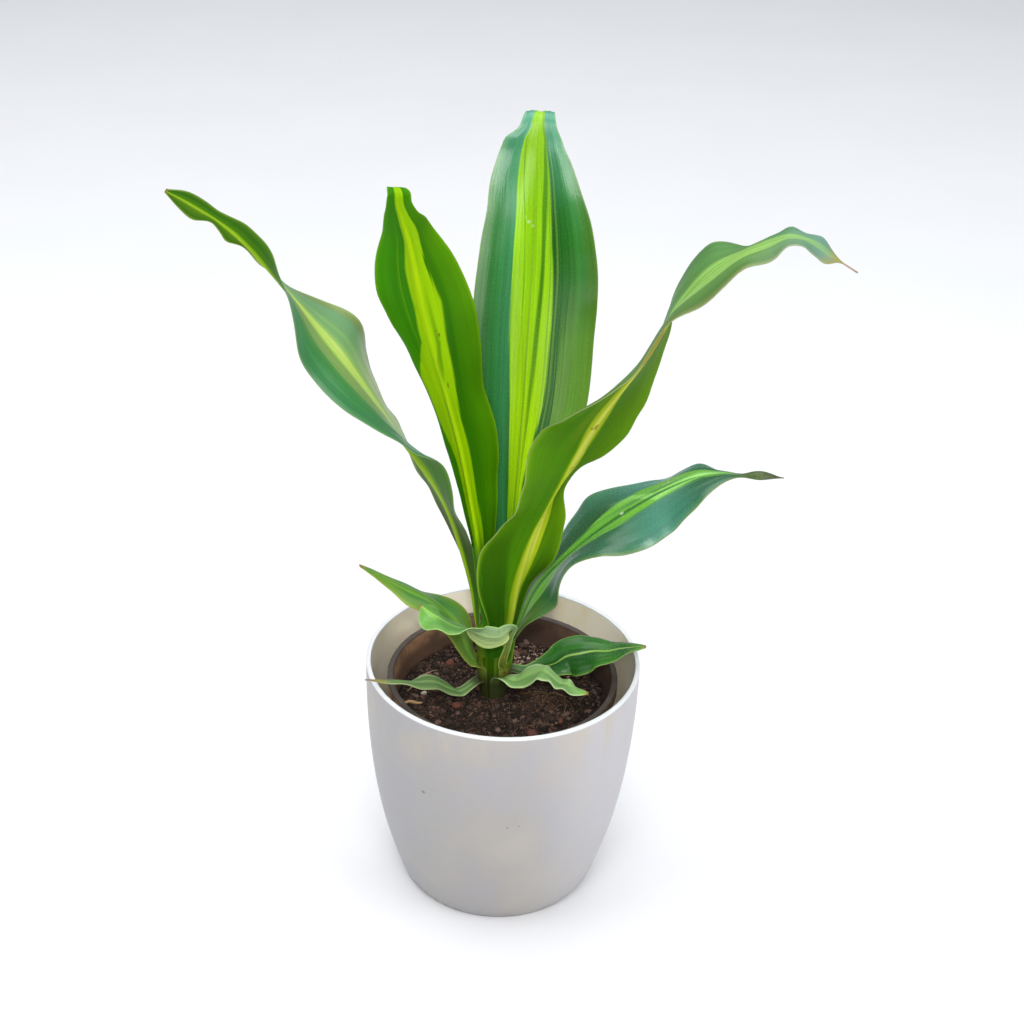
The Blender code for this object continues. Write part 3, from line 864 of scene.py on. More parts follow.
TALL_UPPER = FaceLook(
    ground=(
        (-1, paint(112, 152, 96)), (-0.9, paint(96, 146, 88)), (-0.8, paint(48, 116, 48)),
        (-0.6, paint(52, 128, 66)), (-0.42, paint(60, 140, 88)), (-0.3, paint(44, 112, 38)),
        (0, paint(60, 128, 36)), (0.4, paint(22, 88, 10)), (0.6, paint(28, 104, 14)),
        (0.78, paint(48, 120, 38)), (0.92, paint(62, 114, 18)), (1, paint(82, 124, 24)),
    ),
    foot=paint(52, 88, 22), foot_end=0.24, foot_share=0.85,
    stripes=(
        stripe(paint(156, 212, 26), 0.02, 0.04, (0.15, -0.3, 0.3, 0), (0.25, -0.28, 0.24, 0.8),
               (0.33, -0.27, 0.2, 1), (0.47, -0.3, 0.34, 1), (0.61, -0.38, 0.36, 1), (0.74, -0.42, 0.33, 1),
               (0.9, -0.42, 0.37, 1), (1, -0.3, 0.3, 0.8)),
        # Painted light: this brighter part of the band lifts its lower half where other leaves shade it.
        stripe(paint(190, 232, 16), 0.02, 0.04, (0.24, -0.26, 0.2, 0), (0.32, -0.25, 0.18, 0.9),
               (0.47, -0.28, 0.32, 0.6), (0.64, -0.36, 0.34, 0.25), (0.72, -0.4, 0.3, 0)),
        # Painted shade: the band is duller near the tip, to offset the stronger light on the part that leans
        # back.
        stripe(paint(116, 162, 14), 0.02, 0.04, (0.76, -0.42, 0.35, 0), (0.85, -0.44, 0.37, 0.5),
               (0.92, -0.42, 0.37, 0.45), (1, -0.3, 0.3, 0)),
        stripe(paint(72, 134, 14), 0.02, 0.03, (0.3, 0.06, 0.12, 0.2), (0.47, 0.07, 0.14, 0.7),
               (0.66, 0.13, 0.2, 0.95), (0.73, 0.15, 0.22, 0.95), (0.8, 0.17, 0.27, 0.9),
               (0.9, 0.28, 0.37, 0.8), (0.98, 0.2, 0.3, 0.2)),
        stripe(paint(92, 150, 30), 0.012, 0.02, (0.45, 0, 0.02, 0), (0.62, -0.16, -0.14, 0.5),
               (0.75, -0.21, -0.19, 0.8), (0.91, -0.36, -0.33, 0.9), (1, -0.3, -0.26, 0.8)),
        stripe(paint(92, 148, 30), 0.012, 0.02, (0.3, 0.24, 0.27, 0), (0.5, 0.29, 0.31, 0.6),
               (0.8, 0.3, 0.32, 0.7), (0.95, 0.4, 0.42, 0)),
        stripe(paint(124, 172, 60), 0.014, 0.02, (0.3, 0.33, 0.35, 0.2), (0.5, 0.39, 0.42, 0.5),
               (0.8, 0.4, 0.43, 0.5), (0.95, 0.5, 0.53, 0.1)),
        stripe(paint(138, 174, 34), 0.012, 0.01, (0.1, -0.05, 0.06, 0.9), (0.5, -0.02, 0.025, 0.8),
               (0.9, -0.02, 0.02, 0.5)),
        stripe(paint(110, 148, 104), 0.02, 0.16, (0.55, -0.99, -0.84, 0), (0.66, -1, -0.84, 0.8),
               (0.82, -1, -0.84, 0.7), (0.9, -1, -0.88, 0)),
        # Painted light: a lighter green patch on the right half, part way up.
        stripe(paint(118, 160, 62), 0.06, 0.2, (0.35, 0.5, 0.95, 0), (0.46, 0.5, 0.97, 0.75),
               (0.58, 0.55, 0.97, 0.6), (0.7, 0.6, 0.97, 0)),
    ),
    marks=(
        Mark(0.775, -0.13, 0.0009, 0.0016, paint(208, 230, 168), 0.55),
        Mark(0.768, -0.02, 0.0007, 0.0014, paint(214, 230, 180), 0.5),
        Mark(0.782, -0.21, 0.0013, 0.0004, paint(206, 226, 160), 0.5),
    ),
    margin=paint(150, 170, 96), margin_share=0.3,
    # The bluish shades at the tip are painted reflection of the sky.
    shades=((1, paint(80, 160, 142), 0.75), (0.9, paint(88, 156, 124), 0.3)), roughness=0.27, gloss=0.5,
    streaks=0.2,
)
TALL_LOWER = FaceLook(
    ground=(
        (-1, paint(96, 128, 34)), (-0.5, paint(72, 118, 20)), (0, paint(92, 134, 20)),
        (0.5, paint(72, 118, 20)), (1, paint(96, 128, 34)),
    ),
    foot=paint(120, 150, 40),
    stripes=(
        stripe(paint(140, 180, 40), 0.03, 0.05, (0.2, -0.3, 0.3, 0.9), (0.6, -0.36, 0.34, 0.9),
               (1, -0.3, 0.3, 0.7)),
        stripe(paint(186, 196, 84), 0.02, 0.01, (0.1, -0.1, 0.1, 0.9), (0.5, -0.045, 0.045, 0.8),
               (0.9, -0.03, 0.03, 0.4)),
    ),
    roughness=0.5, gloss=0.12,
)
UPRIGHT_LOWER = FaceLook(
    ground=(
        (-1, paint(100, 146, 8)), (-0.92, paint(76, 132, 1)), (-0.5, paint(60, 120, 0)),
        (-0.2, paint(42, 102, 0)), (0.3, paint(48, 122, 0)), (0.6, paint(54, 128, 1)),
        (0.9, paint(62, 136, 2)), (1, paint(84, 150, 8)),
    ),
    foot=paint(44, 86, 14), foot_end=0.14,
    stripes=(
        stripe(paint(142, 188, 0), 0.03, 0.05, (0.21, -0.3, 0.4, 0), (0.27, -0.3, 0.5, 0.7),
               (0.333, -0.22, 0.45, 0.9), (0.416, -0.2, 0.45, 1), (0.5, -0.18, 0.9, 1),
               (0.58, -0.27, 0.95, 1), (0.665, -0.3, 0.31, 1), (0.74, -0.37, 0.2, 1),
               (0.815, -0.27, 0.24, 1), (0.87, -0.42, 0.18, 1), (0.95, -0.4, 0.22, 0.8)),
        stripe(paint(92, 142, 1), 0.025, 0.03, (0.42, 0.1, 0.18, 0.2), (0.5, 0.08, 0.17, 0.9),
               (0.58, 0, 0.1, 0.8), (0.665, -0.16, -0.06, 0.9), (0.74, -0.15, -0.07, 0.4),
               (0.8, -0.12, -0.08, 0)),
        stripe(paint(40, 96, 0), 0.05, 0.05, (0.5, -0.42, -0.22, 0.2), (0.6, -0.42, -0.3, 0.7),
               (0.665, -0.46, -0.33, 0.8), (0.74, -0.52, -0.4, 0.6), (0.82, -0.5, -0.36, 0.3),
               (0.9, -0.6, -0.5, 0)),
        stripe(paint(96, 150, 2), 0.02, 0.03, (0.35, 0.3, 0.4, 0.2), (0.6, 0.38, 0.42, 0),
               (0.72, 0.38, 0.42, 0.5), (0.85, 0.39, 0.43, 0.5), (0.95, 0.4, 0.44, 0)),
        stripe(paint(164, 200, 1), 0.03, 0.03, (0.24, -0.08, 0.1, 0), (0.4, -0.04, 0.08, 0.6),
               (0.7, 0, 0.1, 0.7), (0.82, -0.05, 0.06, 0.9), (0.95, -0.02, 0.03, 0.3)),
    ),
    marks=(
        Mark(0.68, -0.17, 0.0016, 0.0007, paint(104, 78, 20)),
        Mark(0.58, -0.07, 0.0018, 0.0007, paint(110, 84, 24)),
        Mark(0.69, -0.13, 0.0008, 0.0005, paint(104, 78, 20), 0.7),
        Mark(0.01, 0.45, 0.02, 0.001, paint(120, 140, 40)),
    ),
    margin=paint(120, 166, 30), margin_share=0.4,
    shades=((1, paint(44, 112, 0), 0.6), (0.22, paint(44, 86, 1), 0.7)), roughness=0.52, gloss=0.06,
    streaks=0.1,
)
UPRIGHT_UPPER = FaceLook(
    ground=(
        (-1, paint(96, 140, 62)), (-0.5, paint(52, 118, 58)), (0, paint(80, 136, 40)),
        (0.5, paint(52, 118, 60)), (1, paint(96, 140, 66)),
    ),
    foot=paint(60, 98, 22), foot_end=0.24,
    stripes=(
        stripe(LIME, 0.03, 0.05, (0.2, -0.4, 0.4, 0), (0.3, -0.3, 0.34, 0.7), (0.6, -0.15, 0.28, 0.95),
               (0.9, -0.4, 0.2, 0.9), (1, -0.3, 0.2, 0.6)),
        stripe(LIME, 0.03, 0.05, (0.5, -0.4, -0.2, 0.2), (0.7, -0.42, -0.24, 0.8), (0.85, -0.5, -0.36, 0)),
    ),
    roughness=0.34, gloss=0.5,
)
FAR_UPPER = FaceLook(
    ground=(
        (-1, paint(70, 122, 78)), (-0.85, paint(56, 120, 70)), (-0.5, paint(60, 126, 66)),
        (-0.2, paint(92, 136, 60)), (-0.05, paint(150, 188, 88)), (0.09, paint(154, 190, 90)),
        (0.22, paint(116, 160, 98)), (0.8, paint(104, 150, 104)), (1, paint(146, 168, 92)),
    ),
    foot=paint(84, 120, 46), foot_end=0.14, foot_share=0.8,
    stripes=(
        stripe(paint(184, 208, 98), 0.03, 0.05, (0.3, -0.14, 0.18, 0.7), (0.5, -0.08, 0.11, 0.75),
               (0.75, -0.06, 0.12, 0.75), (0.95, -0.16, 0.16, 0.6)),
        stripe(paint(166, 180, 100), 0.06, 0.12, (0.38, 0.2, 0.95, 0), (0.48, 0.2, 0.95, 0.7),
               (0.58, 0.2, 0.95, 0.55), (0.65, 0.2, 0.95, 0)),
        stripe(paint(132, 154, 92), 0.05, 0.1, (0.45, -0.4, -0.14, 0.3), (0.6, -0.33, -0.13, 0.65),
               (0.78, -0.32, -0.13, 0.5), (0.9, -0.3, -0.2, 0)),
        stripe(paint(108, 140, 54), 0.015, 0.02, (0.4, -0.15, -0.12, 0.6), (0.8, -0.14, -0.11, 0.7),
               (0.95, -0.12, -0.1, 0)),
        stripe(paint(146, 184, 92), 0.04, 0.06, (0.45, 0.34, 0.42, 0.3), (0.75, 0.34, 0.4, 0.35),
               (0.9, 0.3, 0.4, 0)),
        stripe(paint(120, 134, 62), 0.05, 0.05, (0.5, 0.8, 1, 0.6), (0.8, 0.78, 1, 0.5), (0.9, 0.8, 1, 0)),
    ),
    margin=paint(150, 170, 96), margin_share=0.3, shades=((0.26, paint(56, 80, 20), 0.9),), roughness=0.32,
    gloss=0.45,
)
FAR_LOWER = FaceLook(
    ground=(
        (-1, paint(72, 118, 20)), (-0.6, paint(46, 98, 8)), (-0.2, paint(66, 116, 6)),
        (0.2, paint(84, 128, 6)), (0.7, paint(56, 104, 2)), (1, paint(96, 136, 24)),
    ),
    foot=paint(102, 120, 34), foot_end=0.14, foot_share=0.9,
    stripes=(
        stripe(paint(128, 172, 16), 0.03, 0.05, (0.3, -0.2, 0.25, 0.5), (0.6, -0.2, 0.28, 0.8),
               (0.82, -0.16, 0.2, 0.8), (1, -0.12, 0.14, 0.6)),
        stripe(paint(170, 204, 84), 0.06, 0.1, (0.78, 0, 0.95, 0), (0.83, 0, 0.98, 0.65), (0.87, 0, 0.6, 0)),
        stripe(paint(158, 186, 40), 0.02, 0.02, (0.1, -0.12, 0.12, 0.6), (0.5, -0.07, 0.07, 0.8),
               (0.95, -0.05, 0.05, 0.6)),
    ),
    margin=paint(140, 160, 60), shades=((0.26, paint(52, 76, 14), 0.9),), roughness=0.5, gloss=0.1,
)
ARCH_LOWER = FaceLook(
    ground=(
        (-1, paint(90, 132, 10)), (-0.7, paint(76, 118, 1)), (-0.35, paint(66, 110, 0)),
        (0.3, paint(62, 114, 0)), (0.6, paint(68, 116, 1)), (0.9, paint(74, 124, 2)),
        (1, paint(116, 152, 30)),
    ),
    foot=paint(46, 80, 4), foot_end=0.2, foot_share=0.8,
    stripes=(
        stripe(paint(154, 172, 24), 0.03, 0.03, (0.05, -0.22, 0.16, 0.4), (0.14, -0.22, 0.13, 0.55),
               (0.22, -0.28, 0.08, 0.8), (0.27, -0.38, 0.05, 1), (0.31, -0.48, 0.03, 1),
               (0.37, -0.42, 0.05, 1), (0.44, -0.18, 0.06, 1), (0.51, -0.18, 0.15, 1),
               (0.57, -0.12, 0.15, 0.9), (0.7, -0.1, 0.1, 0.7), (0.95, -0.2, 0.2, 0.6)),
        stripe(paint(188, 194, 80), 0.025, 0.02, (0.05, -0.12, 0.08, 0.2), (0.2, -0.14, 0.04, 0.3),
               (0.31, -0.24, 0, 0.9), (0.38, -0.24, 0, 0.9), (0.5, -0.06, 0.06, 0.9),
               (0.9, -0.03, 0.03, 0.5)),
        stripe(paint(96, 132, 2), 0.05, 0.08, (0.42, 0.12, 0.34, 0), (0.5, 0.14, 0.36, 0.7),
               (0.56, 0.14, 0.4, 0.6), (0.64, 0.1, 0.4, 0)),
        stripe(paint(30, 70, 0), 0.08, 0.08, (0.06, 0.25, 0.98, 0.85), (0.16, 0.25, 0.98, 0.85),
               (0.24, 0.4, 0.9, 0.5), (0.3, 0.5, 0.9, 0)),
        stripe(paint(34, 76, 0), 0.08, 0.08, (0.12, -0.98, -0.3, 0.8), (0.22, -0.98, -0.45, 0.6),
               (0.28, -0.98, -0.6, 0)),
    ),
    marks=(
        Mark(0.49, 0, 0.0022, 0.0009, paint(112, 80, 28)),
        Mark(0.4, -0.15, 0.0016, 0.0008, paint(112, 84, 28)),
        Mark(0.485, 0.05, 0.0009, 0.0006, paint(112, 80, 28), 0.7),
        Mark(0.015, 0.85, 0.018, 0.001, paint(116, 134, 40)),
        Mark(0.645, 0.3, 0.014, 0.016, paint(150, 124, 40), 0.6),
    ),
    margin=paint(126, 160, 50), margin_share=0.5, roughness=0.52, gloss=0.06, streaks=0.1,
)
ARCH_UPPER = FaceLook(
    ground=(
        (-1, paint(104, 144, 88)), (-0.85, paint(76, 122, 62)), (-0.3, paint(84, 132, 66)),
        (0.2, paint(108, 154, 74)), (0.5, paint(88, 130, 62)), (0.85, paint(76, 114, 52)),
        (1, paint(112, 122, 70)),
    ),
    foot=paint(70, 110, 40), foot_end=0.2,
    stripes=(
        stripe(paint(138, 182, 88), 0.05, 0.06, (0.2, -0.2, 0.3, 0.8), (0.6, -0.06, 0.44, 0.95),
               (0.8, -0.2, 0.44, 0.9), (0.92, -0.2, 0.3, 0.5), (1, -0.2, 0.3, 0.2)),
        stripe(paint(100, 152, 66), 0.015, 0.02, (0.5, 0.16, 0.2, 0.5), (0.8, 0.14, 0.18, 0.6),
               (0.95, 0.1, 0.15, 0)),
        stripe(paint(92, 142, 66), 0.015, 0.02, (0.5, 0, 0.03, 0.5), (0.8, -0.06, -0.03, 0.6),
               (0.95, -0.1, -0.05, 0)),
    ),
    # The bluish shade at the tip is painted reflection of the sky.
    margin=paint(150, 176, 112), margin_share=0.4, shades=((1, paint(108, 142, 140), 0.9),), roughness=0.44,
    gloss=0.28,
)
LOW_UPPER = FaceLook(
    ground=(
        (-1, paint(84, 136, 96)), (-0.85, paint(54, 112, 80)), (-0.5, paint(38, 92, 54)),
        (-0.3, paint(32, 82, 38)), (0, paint(44, 96, 32)), (0.3, paint(34, 88, 46)),
        (0.7, paint(42, 98, 66)), (0.9, paint(50, 104, 68)), (1, paint(92, 128, 70)),
    ),
    foot=paint(66, 112, 26), foot_end=0.34, foot_share=0.85,
    stripes=(
        stripe(paint(102, 168, 48), 0.025, 0.06, (0.05, -0.4, 0.5, 0.7), (0.2, -0.3, 0.38, 0.85),
               (0.3, -0.18, 0.34, 0.85), (0.43, -0.14, 0.4, 0.9), (0.5, -0.26, 0.26, 0.95),
               (0.6, -0.44, 0.17, 1), (0.7, -0.54, 0.16, 1), (0.79, -0.4, 0.1, 1), (0.85, -0.4, 0.3, 0.5),
               (0.89, -0.4, 0.3, 0)),
        stripe(paint(78, 136, 70), 0.015, 0.02, (0.5, -0.16, -0.1, 0.2), (0.6, -0.2, -0.1, 0.85),
               (0.7, -0.22, -0.14, 0.7), (0.82, -0.2, -0.14, 0.2)),
        stripe(paint(150, 214, 112), 0.03, 0.05, (0.52, -0.44, -0.24, 0), (0.6, -0.42, -0.26, 0.5),
               (0.66, -0.08, 0.14, 0.6), (0.78, -0.2, 0.06, 0.7), (0.9, -0.2, 0, 0)),
        stripe(paint(44, 102, 40), 0.015, 0.01, (0.05, -0.09, 0.08, 0.8), (0.3, -0.07, 0.06, 0.9),
               (0.5, -0.06, 0.04, 0.9), (0.7, -0.05, 0.03, 0.9), (0.9, -0.03, 0.03, 0.4)),
        stripe(paint(72, 134, 44), 0.015, 0.02, (0.1, -0.3, -0.24, 0.6), (0.4, -0.19, -0.16, 0.7),
               (0.8, -0.17, -0.14, 0.5)),
        stripe(paint(72, 134, 44), 0.015, 0.02, (0.1, 0.24, 0.3, 0.6), (0.4, 0.16, 0.2, 0.7),
               (0.8, 0.15, 0.18, 0.5)),
    ),
    marks=(
        Mark(0.56, -0.05, 0.0013, 0.001, paint(190, 208, 170), 0.7),
        Mark(0.7, -0.35, 0.0011, 0.0008, paint(180, 206, 170), 0.6),
    ),
    margin=paint(126, 132, 70), margin_share=0.55,
    # The bluish shade at 0.66 of the length is painted reflection of the sky.
    shades=(
        (0.66, paint(88, 158, 142), 0.45), (0.2, paint(34, 88, 30), 0.5), (0.98, paint(66, 84, 6), 0.95),
    ),
    roughness=0.29, gloss=0.6,
)
LOW_LOWER = FaceLook(
    ground=(
        (-1, paint(104, 136, 40)), (-0.4, paint(72, 118, 16)), (0, paint(110, 148, 24)),
        (0.4, paint(66, 112, 14)), (1, paint(100, 132, 36)),
    ),
    foot=paint(76, 108, 16), foot_end=0.2,
    stripes=(
        stripe(paint(126, 170, 30), 0.03, 0.05, (0.1, -0.5, 0.5, 0.7), (0.5, -0.3, 0.3, 0.9),
               (0.9, -0.3, 0.3, 0.8)),
        stripe(paint(164, 190, 60), 0.02, 0.01, (0.1, -0.12, 0.12, 0.9), (0.5, -0.06, 0.06, 0.8),
               (0.9, -0.04, 0.04, 0.5)),
    ),
    roughness=0.5, gloss=0.12,
)
SMALL_LEFT_UPPER = FaceLook(
    ground=(
        (-1, paint(140, 160, 60)), (-0.8, paint(100, 140, 52)), (-0.3, paint(64, 120, 50)),
        (0.3, paint(66, 122, 58)), (0.8, paint(86, 132, 54)), (1, paint(140, 158, 60)),
    ),
    foot=paint(92, 110, 34), foot_end=0.36,
    stripes=(
        stripe(paint(118, 164, 52), 0.03, 0.05, (0.2, -0.3, 0.3, 0.3), (0.5, -0.22, 0.22, 0.5),
               (1, -0.3, 0.3, 0.7)),
        stripe(paint(66, 116, 38), 0.02, 0.01, (0.2, -0.04, 0.04, 0.6), (0.8, -0.04, 0.04, 0.5)),
    ),
    margin=paint(150, 160, 64), shades=((0.32, paint(96, 120, 36), 0.6), (0.85, paint(108, 146, 46), 0.7)),
    roughness=0.36, gloss=0.4,
)
WAVY_UPPER = FaceLook(
    ground=(
        (-1, paint(128, 166, 92)), (-0.6, paint(84, 132, 68)), (0, paint(94, 140, 68)),
        (0.6, paint(80, 130, 70)), (1, paint(124, 170, 84)),
    ),
    foot=paint(112, 132, 34), foot_end=0.52, foot_share=0.95,
    stripes=(
        stripe(paint(138, 184, 84), 0.03, 0.05, (0.3, -0.2, 0.2, 0.2), (0.7, -0.16, 0.16, 0.4),
               (1, -0.2, 0.2, 0.5)),
    ),
    margin=paint(150, 192, 108), margin_share=0.6,
    shades=((0.48, paint(142, 166, 116), 0.75), (0.98, paint(96, 158, 52), 0.7)), roughness=0.4, gloss=0.4,
)
WAVY_LOWER = FaceLook(
    ground=(
        (-1, paint(122, 152, 118)), (-0.5, paint(114, 146, 100)), (0, paint(124, 152, 96)),
        (0.5, paint(136, 158, 98)), (1, paint(166, 182, 108)),
    ),
    foot=paint(112, 122, 30), foot_end=0.58, foot_share=0.95,
    stripes=(
        stripe(paint(84, 104, 26), 0.04, 0.05, (0, -0.5, -0.3, 0.8), (0.3, -0.4, -0.25, 0.7),
               (0.5, -0.3, -0.2, 0)),
        stripe(paint(88, 108, 28), 0.04, 0.05, (0, 0.2, 0.36, 0.8), (0.3, 0.16, 0.3, 0.7),
               (0.5, 0.2, 0.3, 0)),
    ),
    marks=(
        Mark(0.1, -0.25, 0.0018, 0.0006, paint(122, 74, 30), 0.9),
        Mark(0.17, 0.2, 0.0022, 0.0005, paint(140, 92, 40), 0.9),
        Mark(0.22, -0.1, 0.0012, 0.0006, paint(170, 130, 60), 0.8),
        Mark(0.06, 0.3, 0.0012, 0.0007, paint(110, 70, 30), 0.9),
    ),
    # The pale shade in the middle is partly painted light that shines through the thin blade.
    margin=paint(160, 196, 110), margin_share=0.6, shades=((0.58, paint(152, 170, 118), 0.3),),
    roughness=0.46, gloss=0.2,
)
SMALL_LOW_UPPER = FaceLook(
    ground=(
        (-1, paint(122, 144, 90)), (-0.6, paint(80, 116, 62)), (0, paint(90, 124, 66)),
        (0.6, paint(76, 112, 60)), (1, paint(120, 142, 90)),
    ),
    foot=paint(66, 92, 34), foot_end=0.26,
    stripes=(
        stripe(paint(140, 166, 100), 0.03, 0.05, (0.1, -0.2, 0.2, 0.3), (0.6, -0.2, 0.2, 0.4),
               (1, -0.2, 0.2, 0.2)),
    ),
    margin=paint(164, 172, 124), margin_share=0.5, shades=((0.9, paint(126, 128, 92), 0.7),), roughness=0.44,
    gloss=0.3,
)
PALE_UPPER = FaceLook(
    ground=(
        (-1, paint(168, 192, 136)), (-0.7, paint(136, 172, 108)), (0, paint(128, 168, 96)),
        (0.7, paint(108, 150, 84)), (1, paint(158, 184, 124)),
    ),
    foot=paint(106, 130, 40), foot_end=0.24,
    stripes=(stripe(paint(92, 146, 66), 0.03, 0.02, (0.1, -0.05, 0.05, 0.5), (0.8, -0.04, 0.04, 0.6)),),
    margin=paint(182, 206, 146), margin_share=0.7, shades=((1, paint(120, 186, 70), 0.8),), roughness=0.4,
    gloss=0.35,
)
PALE_LOWER = FaceLook(
    ground=(
        (-1, paint(150, 178, 106)), (-0.5, paint(112, 150, 72)), (0, paint(128, 164, 78)),
        (0.5, paint(108, 148, 70)), (1, paint(148, 178, 106)),
    ),
    foot=paint(84, 112, 36), foot_end=0.22, margin=paint(176, 198, 130), margin_share=0.6, roughness=0.46,
    gloss=0.2,
)
SMALL_GREEN_LOWER = FaceLook(
    ground=(
        (-1, paint(124, 146, 50)), (-0.3, paint(84, 116, 36)), (0.3, paint(84, 116, 36)),
        (1, paint(124, 146, 50)),
    ),
    foot=paint(92, 116, 40), foot_end=0.3,
    stripes=(
        stripe(paint(140, 168, 60), 0.03, 0.05, (0.1, -0.1, 0.1, 0.4), (0.5, -0.08, 0.08, 0.6),
               (1, -0.1, 0.1, 0.5)),
    ),
    roughness=0.48, gloss=0.18,
)
DARK_UPPER = FaceLook(
    ground=(
        (-1, paint(72, 122, 34)), (-0.85, paint(38, 98, 22)), (-0.3, paint(24, 78, 16)),
        (0.3, paint(24, 76, 22)), (0.85, paint(34, 90, 26)), (1, paint(76, 120, 40)),
    ),
    foot=paint(44, 78, 22), foot_end=0.18,
    stripes=(
        stripe(paint(140, 176, 84), 0.025, 0.02, (0.1, -0.07, 0.07, 0.7), (0.5, -0.045, 0.045, 0.9),
               (1, -0.07, 0.07, 0.8)),
        stripe(paint(60, 122, 50), 0.1, 0.14, (0.2, -0.5, -0.2, 0.2), (0.6, -0.45, -0.2, 0.45),
               (0.9, -0.5, -0.2, 0.3)),
    ),
    margin=paint(140, 166, 84), margin_share=0.5,
    shades=((1, paint(90, 150, 34), 0.8), (0.75, paint(52, 118, 24), 0.6)), roughness=0.27, gloss=0.5,
)

